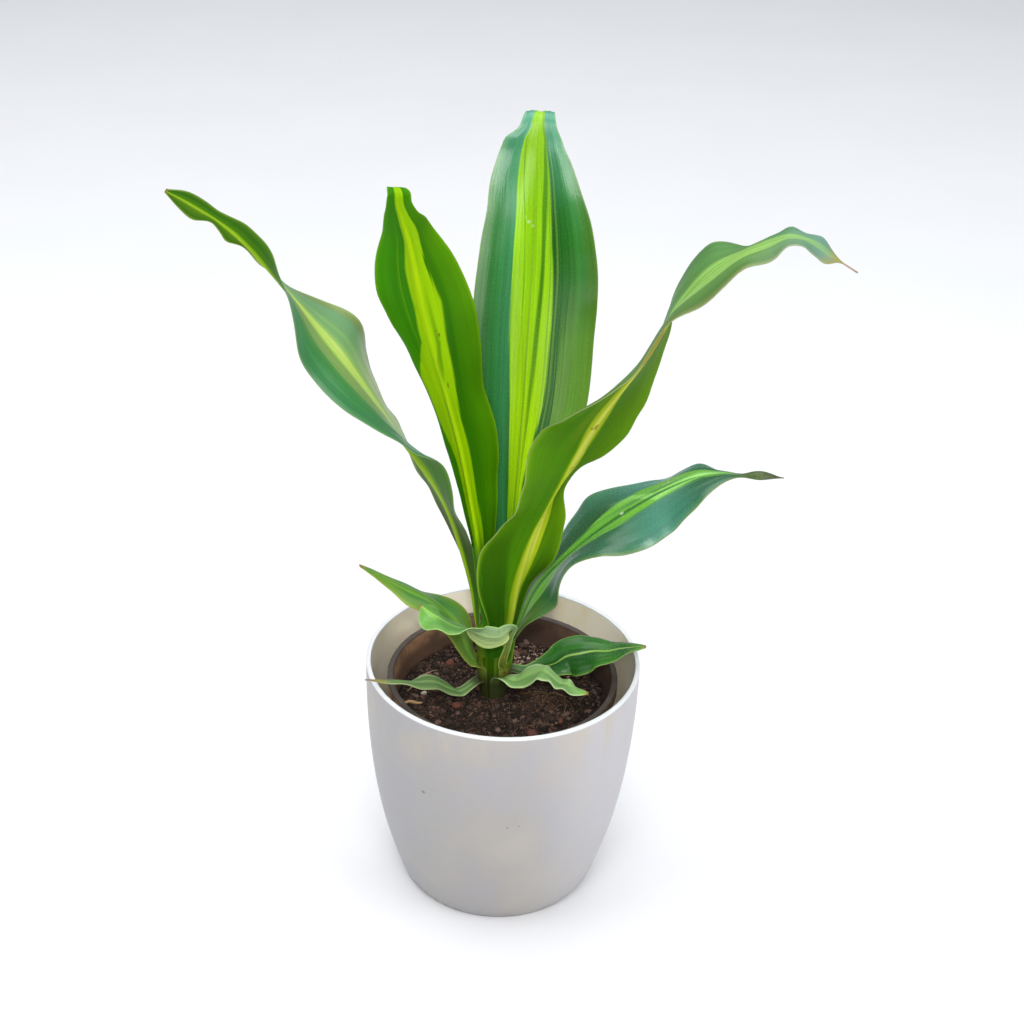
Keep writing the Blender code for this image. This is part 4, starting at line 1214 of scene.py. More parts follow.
LEAVES = (
    Blade(
        "leaf_tall", 80, 0.152, (0, 15), 90,
        (
            (-1, 9, 185, 40, 40, 7, 7), (2, 11, 225, 36, 36, 15, 15), (4, 14, 265, 32, 30, 25, 26),
            (6, 18, 310, 30, 18, 33, 36), (7, 22, 352, 32, 14, 36, 37), (8, 27, 387, 33, 19, 35, 37),
            (8, 34, 415, 29, 23, 29, 31), (8, 39.5, 435, 14, 16, 23.4, 21.4), (8, 43, 446, 10, 12, 19, 15.7),
            (8.3, 44.7, 451.5, 12, 8, 16.4, 12.8), (8.4, 46.2, 455.5, 12, 8, 11, 10.4),
            (8.5, 48.5, 459.4, 10, 8, 8.8, 9.2), (9, 52, 461.8, 4, 4, 7.6, 8.2),
            (9.5, 56, 461.6, 0, 0, 6.8, 7.2), (10, 60, 456, 0, 0, 4.2, 4.6), (10, 62, 449, 0, 0, 1.8, 1.8),
        ),
        TALL_UPPER, TALL_LOWER, DryTip(0.004), camber=0.07, ripple=0.0006, waves=7.0, sheath_radius=0.0050,
        sheath_foot=0.140, seed=1.3,
    ),
    Blade(
        "leaf_upright", 255, 0.156, (-3, 15), 270,
        (
            (-13, -12, 202, 40, 42, 5, 4.2), (-16, -14, 234, 35, 46, 11, 6.2),
            (-21, -15, 264, 34, 44, 18, 8.8), (-26, -18, 293, 34, 41, 23, 12.2),
            (-32, -24, 322, 50, 40, 26, 14.6), (-39, -30, 352, 36, 36, 27, 19.6),
            (-45, -36, 379, 27, 29, 27, 25.3), (-50, -42, 406, 46, 20, 25, 24),
            (-54, -49, 430, 60, 35, 17, 17), (-57, -52, 442, 30, 28, 8.5, 10.8),
            (-59, -54, 450, 15, 20, 7, 6.2), (-59.5, -53.5, 455.5, 8, 10, 6.6, 4.8),
            (-61, -49, 456.5, 0, 0, 4.4, 3.8), (-62.5, -46, 449, 0, 0, 1, 1),
        ),
        UPRIGHT_UPPER, UPRIGHT_LOWER, DryTip(0.003), camber=0.0, ripple=0.0004, waves=7.0, sheath_arc=120.0,
        sheath_radius=0.0051, seed=2.1,
    ),
    Blade(
        "leaf_far_left", 155, 0.136, (-23, 47), 190,
        (
            (-16, 5, 171, 10, 25, 5, 5), (-19, 4.5, 192, 20, 8, 8.8, 9.8), (-24.5, 4, 215, 28, -8, 12.5, 14),
            (-39, -5, 262, 16, -19, 22, 21), (-50, -10, 283, 34, -12, 23, 22),
            (-60, -14, 300, 19, 0, 22, 23), (-71, -18, 320, -6, 4, 24, 24), (-82, -21, 338, -26, 18, 25, 25),
            (-93, -22, 354, -38, 38, 24, 26), (-104, -23, 369, -30, 17, 23, 24),
            (-116, -24.7, 386.5, -3, 0, 12.8, 12.2), (-125, -26, 399, 22, -17, 10.8, 9),
            (-131.2, -26.5, 406.8, 52, -46, 10.8, 3.6), (-137.5, -27, 414.2, 76, -66, 9, 2.2),
            (-143.5, -27.7, 420.8, 86, -80, 7.8, 6.2), (-148.2, -28.2, 425, 86, -80, 6, 4.2),
            (-153, -28.5, 428.8, 84, -76, 4.8, 3), (-160, -29, 433.5, 84, -76, 5.6, 7.4),
            (-168, -29.5, 438.5, 84, -74, 5.2, 5.6), (-176.5, -30, 443.2, 84, -74, 1, 1),
        ),
        FAR_UPPER, FAR_LOWER, DryTip(0.001), camber=0.03, ripple=0.0009, waves=8.0, sheath_arc=90.0,
        sheath_radius=0.0066, sheath_height=0.036, seed=3.2,
    ),
    Blade(
        "leaf_right_arch", 293, 0.146, (-28, 44), -25,
        (
            (4, -11, 185, -5, 55, 10, 15), (6, -12, 202, -12, 60, 13, 22), (10, -15, 225, -42, 60, 18, 26),
            (15, -18, 248, -25, 37, 22, 24), (22, -22, 268, 0, 23, 20, 26), (28, -25, 283, -8, 24, 22, 28),
            (37, -29, 305, -25, 44, 30, 30), (48, -34, 329, -23, 24, 31, 31), (68, -41, 366, -1, -4, 29, 29),
            (84, -45, 400, 22, -9, 27, 26), (97, -48, 418, 26, -22, 25, 24),
            (112, -51, 431, -6, -18, 17.5, 18.5), (125, -53, 438, -3, -24, 14.5, 13.5),
            (132.5, -54, 440.5, 2, -12, 14, 8.5), (140, -55, 440, -6, -4, 8.4, 7.8),
            (147.5, -56.5, 437, 2, -20, 9.2, 7.2), (153.5, -57.5, 433, -4, -16, 5.2, 6.6),
            (156.5, -58, 431.2, -4, -16, 2, 2.4), (166.8, -60, 425.5, 0, -12, 0.5, 0.5),
        ),
        ARCH_UPPER, ARCH_LOWER, DryTip(0.012, paint(164, 130, 120)), camber=0.04, ripple=0.0008, waves=9.0,
        sheath_arc=100.0, sheath_radius=0.0055, sheath_height=0.036, seed=4.4,
    ),
    Blade(
        "leaf_right_low", 22, 0.144, (30, -8), 5,
        (
            (10, 5, 173, 16, 4, 10, 10), (19, 5, 197, 2, -27, 18, 19), (34, 6, 216, 6, 12, 21.5, 22),
            (51, 7, 233, 13, 4, 29.5, 27), (69, 7, 249, -1, -31, 27, 27), (88, 8, 262, -17, -29, 25, 24),
            (108, 9, 271, -11, -5, 18, 19), (120, 9, 273, -22, 4, 9, 10), (130, 9, 272, -17, 18, 5, 5),
            (142, 10, 272, 20, -20, 3, 3), (153, 10, 271, -30, 26, 1, 1),
        ),
        LOW_UPPER, LOW_LOWER, DryTip(0.017, paint(54, 68, 6), paint(62, 84, 12), 0.95), camber=0.05,
        ripple=0.0007, waves=7.0, sheath_arc=85.0, sheath_radius=0.0059, seed=5.7,
    ),
    Blade(
        "leaf_small_left", 205, 0.138, (65, -45), 180,
        (
            (-14, -5, 146, -14, 20, 3.4, 3.6), (-20, -8, 156, -18, 30, 5.2, 6),
            (-29, -9, 179, -20, 42, 11, 11), (-36, -11, 189, -10, 2, 12, 12),
            (-44, -13, 198, -34, -24, 10, 11), (-54, -15, 204, -26, -18, 10, 10),
            (-63, -16, 209, -18, -16, 7, 7), (-82, -20, 222, 0, 0, 1, 1),
        ),
        SMALL_LEFT_UPPER, SMALL_GREEN_LOWER, DryTip(0.003, paint(128, 112, 62)), waves=4.0, row_gap=0.0009,
        keel=0.0006, sheath_arc=36.0, sheath_radius=0.0062, sheath_height=0.018, seed=6.2,
    ),
    Blade(
        "leaf_front_wavy", 318, 0.138, (146, -130), 180,
        (
            (0, -12.5, 157, 110, -100, 2.6, 2.4), (2.2, -14.8, 167, 100, -90, 2, 2),
            (3.8, -17, 176.5, 92, -84, 2, 2), (4.4, -19.5, 183.2, 86, -76, 3.2, 3.2),
            (2.2, -24, 184.6, 84, -80, 4.6, 3.6), (-1.8, -27, 182.5, 88, -84, 6.2, 6),
            (-7.8, -29, 183, 88, -84, 7.6, 8.2), (-14, -29.8, 185.6, 78, -66, 7.6, 7.8),
            (-19, -31, 189, 46, -34, 7, 7), (-25, -31, 190, 10, -18, 8, 8), (-30, -31, 192, -6, -18, 9, 9),
            (-36, -31, 196, -10, -16, 10, 10), (-42, -30, 199, -62, -2, 9, 9), (-47, -29, 203, -60, 0, 1, 1),
        ),
        WAVY_UPPER, WAVY_LOWER, DryTip(0.0015), camber=0.01, ripple=0.0002, waves=4.0, row_gap=0.0008,
        keel=0.0005, sheath_arc=30.0, sheath_radius=0.0062, sheath_height=0.018, seed=7.9,
    ),
    Blade(
        "leaf_small_low", 207, 0.130, (20, 0), 200,
        (
            (-22, -8, 130, 10, -20, 4, 4), (-30, -14, 136, -2, 4, 6, 6), (-40, -22, 146, 0, -6, 7, 8),
            (-50, -30, 151, 2, -28, 7, 6), (-58, -34, 154, 14, -20, 4, 4), (-66, -38, 157, -20, -20, 2, 2),
            (-77, -44, 161, 40, 0, 1, 1),
        ),
        SMALL_LOW_UPPER, PALE_LOWER, DryTip(0.009, paint(140, 124, 96)), ripple=0.0005, waves=4.0,
        row_gap=0.0008, keel=0.0005, sheath_arc=30.0, sheath_radius=0.0064, sheath_height=0.018, seed=8.5,
    ),
    Blade(
        "leaf_pale_right", 286, 0.132, (-34, 54), -30,
        (
            (3, -11, 142, 0, 20, 5, 5), (8, -14, 143, 16, 2, 7, 7), (13, -16, 147, 28, -20, 8, 8),
            (19, -18, 152, 12, -14, 9, 9), (23, -19, 154, -8, 4, 9, 9), (27, -20, 152, -20, 26, 9, 9),
            (33, -22, 148, -16, 16, 8, 8), (37, -23, 148, 2, 8, 6, 6), (42, -24, 146, -20, -26, 4, 4),
            (50, -25, 144, 0, 0, 1, 1),
        ),
        PALE_UPPER, PALE_LOWER, DryTip(0.002), ripple=0.0005, waves=4.0, row_gap=0.0008, keel=0.0005,
        sheath_arc=30.0, sheath_radius=0.0064, sheath_height=0.017, seed=9.1,
    ),
    Blade(
        "leaf_dark_right", 32, 0.133, (40, -18), 5,
        (
            (23, 6, 140, 54, -22, 6, 6), (31, 5, 144, 40, -12, 10, 10), (37, 5, 149, 26, -42, 12, 12),
            (45, 4, 152, 15, -29, 14, 14), (53, 4, 154, 2, -14, 14, 14), (61, 3, 155, -4, -3, 12, 12),
            (68, 3, 157, -13, 1, 10, 10), (76, 2, 159, -11, 12, 6, 6), (83, 2, 160, 0, 0, 1, 1),
        ),
        DARK_UPPER, SMALL_GREEN_LOWER, DryTip(0.002), camber=0.08, ripple=0.0003, waves=4.0, row_gap=0.0009,
        keel=0.0006, sheath_arc=34.0, sheath_radius=0.0063, sheath_height=0.016, seed=10.6,
    ),
)


@dataclass(frozen=True)
class PlanterFinish:
    """White moulded plastic: faint cloudiness, pale stains under the rim, specks and a creamier inside; the
    inside is also painted lighter than the outside as painted light, with a painted highlight along the rim,
    painted shade on the left side and at the foot, and painted light on the right side.
    """

    outside: Colour = paint(166, 162, 158)
    # The inside's colour is lighter than the outside's partly as painted light through the thin wall.
    inside: Colour = paint(250, 241, 218)
    # Colour of the painted highlight along the top of the rim.
    rim: Colour = paint(216, 218, 220)
    stain: Colour = paint(182, 171, 150)
    specks: tuple[tuple[float, float, float], ...] = (
        (-0.0425, 0.1005, 0.0015), (0.006, 0.0855, 0.0008), (0.0125, 0.0865, 0.0007),
    )

    def material(self, planter: "Planter") -> Material:
        """Builds the planter's material.

        Args:
            planter: the planter that it covers.

        Returns:
            The material.
        """
        desk = MaterialDesk("planter_white_plastic")
        place = desk.place()
        x, y, z = desk.parts(place)
        away = desk.distance(x, y)
        inner = desk.held("inner")
        cloudy = desk.cloud(place, 22.0, 3.0, 0.5)
        # Noise for the real stains under the rim, the inside's tone and the painted shade at the foot.
        stain_and_shade_noise = desk.cloud(desk.stretch(place, (1.0, 1.0, 0.35)), 55.0, 4.0, 0.6, 0.6)
        grain = desk.cloud(place, 1500.0, 2.0, 0.5)
        cool_to_warm = ((0.3, paint(162, 160, 164)), (0.5, self.outside), (0.7, paint(174, 168, 160)))
        # The inside is painted much lighter and creamier than the outside of the same plastic: partly a cream
        # tint, partly painted light that shines through the thin wall and bounces inside.
        cream_to_white = ((0.3, paint(243, 230, 198)), (0.5, self.inside), (0.72, paint(252, 246, 230)))
        outside, inside = desk.ramp(cloudy, cool_to_warm), desk.ramp(stain_and_shade_noise, cream_to_white)
        # Painted shade on the left side and painted light on the right side: the outside is darker and bluer
        # to the left, lighter to the right.
        outside = desk.blend(desk.times(desk.step(x, -0.01, -0.075), 0.5), outside, paint(154, 155, 162))
        outside = desk.blend(desk.times(desk.step(x, 0.01, 0.07), 0.6), outside, paint(196, 194, 200))
        colour = desk.blend(inner, outside, inside)
        top = planter.height
        under_rim = desk.times(desk.step(z, top - 0.048, top - 0.008), desk.step(z, top - 0.001, top - 0.003))
        drips = desk.times(under_rim, desk.step(stain_and_shade_noise, 0.40, 0.74))
        colour = desk.blend(desk.times(drips, desk.spread(inner, 0.6, 0.1)), colour, self.stain)
        # Painted highlight: a lighter band along the top of the rim.
        colour = desk.blend(desk.step(z, top - 0.0016, top - 0.0006), colour, self.rim)
        # Painted shade: patches of darker colour over the outside's lowest centimetre.
        foot = desk.times(desk.step(z, 0.010, 0.0), desk.step(stain_and_shade_noise, 0.35, 0.7))
        colour = desk.blend(desk.times(foot, 0.45), colour, paint(146, 138, 132))
        front = desk.step(y, 0.0, -0.01)
        for side, height, size in self.specks:
            near = desk.distance(desk.minus(x, side), desk.minus(z, height))
            speck = desk.times(desk.times(desk.step(near, size, size * 0.4), front), 0.7)
            colour = desk.blend(speck, colour, paint(96, 98, 88))
        turn = desk.reckon("ARCTAN2", y, x)
        scuffs = desk.cloud(desk.vector(desk.times(turn, 3.0), desk.times(z, 900.0), away), 1.0, 2.0, 0.6)
        scratches = desk.step(scuffs, 0.66, 0.74)
        colour = desk.blend(desk.times(scratches, 0.14), colour, paint(150, 142, 132))
        roughness = desk.plus(desk.spread(cloudy, 0.34, 0.46), desk.times(scratches, 0.12))
        hollow = desk.relief(cloudy, 0.0005, 0.25)
        normal = desk.relief(grain, 0.00003, 0.3, hollow)
        return desk.finish(colour, roughness, normal, Specular_IOR_Level=0.45)


def turned_piece(name: str, profile: list[tuple[float, float]], steps: int, slot: str, node: str) -> Piece:
    """Turns a profile round the Z axis into a closed piece.

    Args:
        name: the piece's name.
        profile: radius and height of each ring, from the axis, down the outer side and back to the axis.
        steps: how many points each ring has.
        slot: the record's material slot.
        node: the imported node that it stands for.

    Returns:
        The piece.
    """
    points = [(0.0, 0.0, profile[0][1])]
    for radius, height in profile[1:-1]:
        points += [(radius * math.cos(turn), radius * math.sin(turn), height) for turn in turns_of(steps)]
    points.append((0.0, 0.0, profile[-1][1]))
    return mesh_piece(name, np.array(points), closed_rings(len(profile) - 2, steps), slot, node)


def round_corner(
    before: tuple[float, float], corner: tuple[float, float], after: tuple[float, float], size: float,
    steps: int = 5,
) -> list[tuple[float, float]]:
    """Points of a rounded corner between two runs of a profile.

    Args:
        before: a point on the run that comes in.
        corner: the sharp corner.
        after: a point on the run that goes out.
        size: how far from the corner the rounding starts.
        steps: how many points it has.

    Returns:
        The points, in order.
    """
    a, c, b = (np.array(point, dtype=float) for point in (before, corner, after))
    start = c + unit(a - c) * size
    end = c + unit(b - c) * size
    shares = np.linspace(0.0, 1.0, steps)
    return [tuple((1 - s) ** 2 * start + 2 * s * (1 - s) * c + s * s * end) for s in shares]


@dataclass(frozen=True)
class Planter:
    """The white planter: a smooth turned shell with a rounded rim and a recessed foot."""

    height: float = 0.150
    radius: float = 0.080
    wall: float = 0.0028
    floor: float = 0.003
    foot_radius: float = 0.0537
    outline: tuple[tuple[float, float], ...] = (
        (0.0, 0.0537), (0.03, 0.0577), (0.08, 0.0607), (0.16, 0.0645), (0.28, 0.0694), (0.45, 0.0743),
        (0.65, 0.0779), (0.85, 0.0797), (1.0, 0.0800),
    )
    recess: tuple[float, float, float] = (0.015, 0.044, 0.0012)
    rim_rounds: tuple[float, float] = (0.0008, 0.0012)
    floor_round: float = 0.0028
    foot_round: float = 0.0016
    recess_round: float = 0.0004
    steps: int = 224
    rings: int = 64
    look: PlanterFinish = PlanterFinish()

    def radius_at(self, share: np.ndarray) -> np.ndarray:
        """Outer radius at shares of the height, on a smooth curve."""
        shares, radii = np.array(self.outline).T
        return smooth_curve(shares, radii[:, None], np.asarray(share, dtype=float))[:, 0]

    def build(self) -> Piece:
        """Builds the shell and dresses it.

        Returns:
            The planter's piece.
        """
        inner_foot, outer_foot, depth = self.recess
        shares = np.linspace(0.03, 0.97, self.rings)
        outer = [(float(r), float(s * self.height)) for r, s in zip(self.radius_at(shares), shares)]
        inner = [(r - self.wall, h) for r, h in outer if h > self.floor + 0.004]
        rim_in, rim_out = (self.radius - self.wall, self.height), (self.radius, self.height)
        inner_corner = (inner[0][0] - 0.0006, self.floor)
        profile = [(0.0, self.floor), (0.02, self.floor)]
        profile += round_corner((0.0, self.floor), inner_corner, inner[0], self.floor_round)
        profile += inner
        profile += round_corner(inner[-1], rim_in, rim_out, self.rim_rounds[0])
        profile += round_corner(rim_in, rim_out, outer[-1], self.rim_rounds[1])
        profile += list(reversed(outer))
        deep_out, deep_in = (outer_foot - depth, depth), (inner_foot + depth, depth)
        profile += round_corner(
            outer[0], (self.foot_radius + 0.0012, 0.0), (outer_foot, 0.0), self.foot_round,
        )
        profile += round_corner((self.foot_radius, 0.0), (outer_foot, 0.0), deep_out, self.recess_round, 3)
        profile += [deep_out, deep_in]
        profile += round_corner(deep_in, (inner_foot, 0.0), (0.0, 0.0), self.recess_round, 3)
        profile.append((0.0, 0.0))
        piece = turned_piece("planter_shell", profile, self.steps, "planter_plastic", "planter")
        points = np.array([v.co for v in piece.data.vertices])
        away = np.hypot(points[:, 0], points[:, 1])
        edge = self.radius_at(points[:, 2] / self.height) - self.wall / 2
        hold_number(piece, "inner", rise(edge - away, -0.0006, 0.0006) * rise(points[:, 2], 0.001, 0.0025))
        piece.data.materials.append(self.look.material(self))
        return piece


@dataclass(frozen=True)
class NurseryFinish:
    """Thin brown moulded plastic, dusty with dried soil, greyer on its lip, with painted shade deeper below
    the lip and a darker right side.
    """

    wall: Colour = paint(150, 112, 84)
    lip: Colour = paint(64, 56, 52)
    dust: Colour = paint(176, 140, 104)

    def material(self, top: float) -> Material:
        """Builds the nursery pot's material.

        Args:
            top: the height of its lip in metres.

        Returns:
            The material.
        """
        desk = MaterialDesk("nursery_brown_plastic")
        place = desk.place()
        x, _, z = desk.parts(place)
        dusty = desk.cloud(place, 70.0, 4.0, 0.65, 0.4)
        fine = desk.cloud(place, 700.0, 3.0, 0.6)
        wall = desk.ramp(dusty, ((0.32, paint(96, 72, 56)), (0.5, self.wall), (0.68, self.dust)))
        # Painted shade: the wall is darker below the lip, deeper in the pot.
        shaded = desk.blend(desk.step(z, top - 0.004, top - 0.012), wall, paint(92, 68, 52))
        # The wall is darker towards the right, in patches.
        darkening = desk.step(desk.plus(x, desk.spread(dusty, -0.02, 0.02)), -0.045, 0.0)
        shaded = desk.blend(desk.times(darkening, 0.8), shaded, paint(58, 43, 36))
        lip = desk.blend(desk.times(desk.step(dusty, 0.45, 0.7), 0.5), self.lip, paint(92, 80, 70))
        colour = desk.blend(desk.step(z, top - 0.0016, top - 0.0004), shaded, lip)
        crumbs = desk.times(desk.step(fine, 0.62, 0.7), 0.7)
        colour = desk.blend(crumbs, colour, paint(62, 44, 34))
        normal = desk.relief(fine, 0.00012, 0.5)
        return desk.finish(colour, desk.spread(dusty, 0.5, 0.8), normal, Specular_IOR_Level=0.4)


@dataclass(frozen=True)
class NurseryPot:
    """The grower's pot in the planter: tapered thin wall, rolled lip, raised and drained floor."""

    rim_radius: float = 0.0675
    base_radius: float = 0.047
    bottom: float = 0.0033
    top: float = 0.139
    wall: float = 0.0012
    lip_height: float = 0.007
    lip_thickness: float = 0.0035
    floor_raise: float = 0.003
    foot_width: float = 0.008
    lip_round: float = 0.0009
    foot_round: float = 0.001
    drains: int = 6
    drain_radius: float = 0.0035
    drain_circle: float = 0.026
    steps: int = 192
    look: NurseryFinish = NurseryFinish()

    def radius_at(self, height: float) -> float:
        """Outer radius of the tapered wall at a height."""
        widening = self.rim_radius - self.lip_thickness + self.wall - self.base_radius
        return self.base_radius + widening * (height - self.bottom) / (self.top - self.bottom)

    def build(self) -> Piece:
        """Builds the pot, drills its drain holes and dresses it.

        Returns:
            The nursery pot's piece.
        """
        t, bottom, lip_foot, base = self.wall, self.bottom, self.top - self.lip_height, self.base_radius
        raised, floor, foot = bottom + self.floor_raise, bottom + self.wall, base - self.foot_width
        heights = np.linspace(bottom + 0.006, self.top - 0.0035, 26)
        inside = [(self.radius_at(h) - t, float(h)) for h in heights]
        profile = [(0.0, raised + t), (foot - t, raised + t)]
        profile += round_corner((0.0, raised + t), (foot + t, floor), (base, floor), self.foot_round, 3)
        profile += round_corner((0.0, floor), (base - t, floor), inside[0], 0.002, 4)
        profile += inside
        inner_top, outer_top = (self.radius_at(self.top) - t, self.top), (self.rim_radius, self.top)
        under_lip = (self.rim_radius, lip_foot)
        profile += round_corner(inside[-1], inner_top, outer_top, self.lip_round)
        profile += round_corner(inner_top, outer_top, under_lip, self.lip_round)
        profile += [(self.rim_radius, self.top - 0.003), (self.rim_radius, lip_foot + 0.0012)]
        profile += round_corner(outer_top, under_lip, (self.radius_at(lip_foot), lip_foot), 0.0005, 4)
        profile.append((self.radius_at(lip_foot) + 0.0004, lip_foot))
        profile.append((self.radius_at(lip_foot - 0.0006), lip_foot - 0.0006))
        profile += [(self.radius_at(h), float(h)) for h in np.linspace(lip_foot - 0.004, bottom + 0.004, 24)]
        above_foot = (self.radius_at(bottom + 0.004), bottom + 0.004)
        profile += round_corner(above_foot, (base, bottom), (0.0, bottom), self.foot_round, 4)
        profile += [(foot, bottom), (foot - 2 * t, raised), (0.0, raised)]
        piece = turned_piece("nursery_pot_shell", profile, self.steps, "nursery_plastic", "nursery_pot")
        self._drill(piece)
        piece.data.materials.append(self.look.material(self.top))
        return piece

    def _drill(self, piece: Piece) -> None:
        """Cuts the drain holes through the raised floor.

        Args:
            piece: the pot's piece.
        """
        made, radius = bmesh.new(), self.drain_radius
        raised = Vector((0.0, 0.0, self.bottom + self.floor_raise))
        for turn in turns_of(self.drains):
            middle = raised + self.drain_circle * Vector((math.cos(turn), math.sin(turn), 0.0))
            bmesh.ops.create_cone(
                made, cap_ends=True, segments=28, radius1=radius, radius2=radius,
                depth=4 * self.floor_raise, matrix=Matrix.Translation(middle),
            )
        mesh = bpy.data.meshes.new("drill")
        made.to_mesh(mesh)
        made.free()
        drill = placed("drill", mesh)
        cut = piece.modifiers.new("drains", "BOOLEAN")
        cut.operation = "DIFFERENCE"
        cut.solver = "EXACT"
        cut.object = drill
        bpy.context.view_layer.update()
        cut_mesh = bpy.data.meshes.new_from_object(piece.evaluated_get(bpy.context.evaluated_depsgraph_get()))
        piece.modifiers.clear()
        piece.data = cut_mesh
        cut_mesh.name = piece.name
        bpy.data.objects.remove(drill)


@dataclass(frozen=True)
class SoilFinish:
    """Dark potting mix: the bed between the crumbs, the crumbs, and the fibres and stones that lie on it."""

    bed: tuple[Colour, Colour, Colour] = (paint(22, 17, 14), paint(40, 31, 26), paint(70, 56, 46))

    def bed_material(self) -> Material:
        """Builds the material of the ground between the crumbs.

        Returns:
            The material.
        """
        desk = MaterialDesk("potting_mix_bed")
        place = desk.place()
        lumps = desk.cloud(place, 260.0, 5.0, 0.7)
        grains = desk.cloud(place, 1300.0, 3.0, 0.6)
        dry = desk.cloud(place, 45.0, 2.0, 0.5)
        colour = desk.ramp(lumps, ((0.34, self.bed[0]), (0.52, self.bed[1]), (0.70, self.bed[2])))
        colour = desk.blend(desk.times(desk.step(dry, 0.5, 0.7), 0.35), colour, paint(98, 76, 60))
        colour = desk.blend(desk.step(grains, 0.5, 0.36), colour, self.bed[0])
        rough = desk.relief(lumps, 0.0016, 0.9)
        return desk.finish(colour, 0.95, desk.relief(grains, 0.0004, 0.8, rough), Specular_IOR_Level=0.15)

    def loose_material(
        self, name: str, stops: tuple[tuple[float, Colour], ...], roughness: float = 0.92,
        grain: float = 1400.0,
    ) -> Material:
        """Builds the material of loose bits.

        Args:
            name: the material's name.
            stops: the colours that the bits have, by a number that each of them holds.
            roughness: how matt they are.
            grain: how fine their surface is.

        Returns:
            The material.
        """
        desk = MaterialDesk(name)
        fine = desk.cloud(desk.place(), grain, 3.0, 0.65)
        colour = desk.shaded(desk.ramp(desk.held("tone"), stops), desk.spread(fine, 0.55, 1.45))
        return desk.finish(colour, roughness, desk.relief(fine, 0.0003, 0.8), Specular_IOR_Level=0.2)


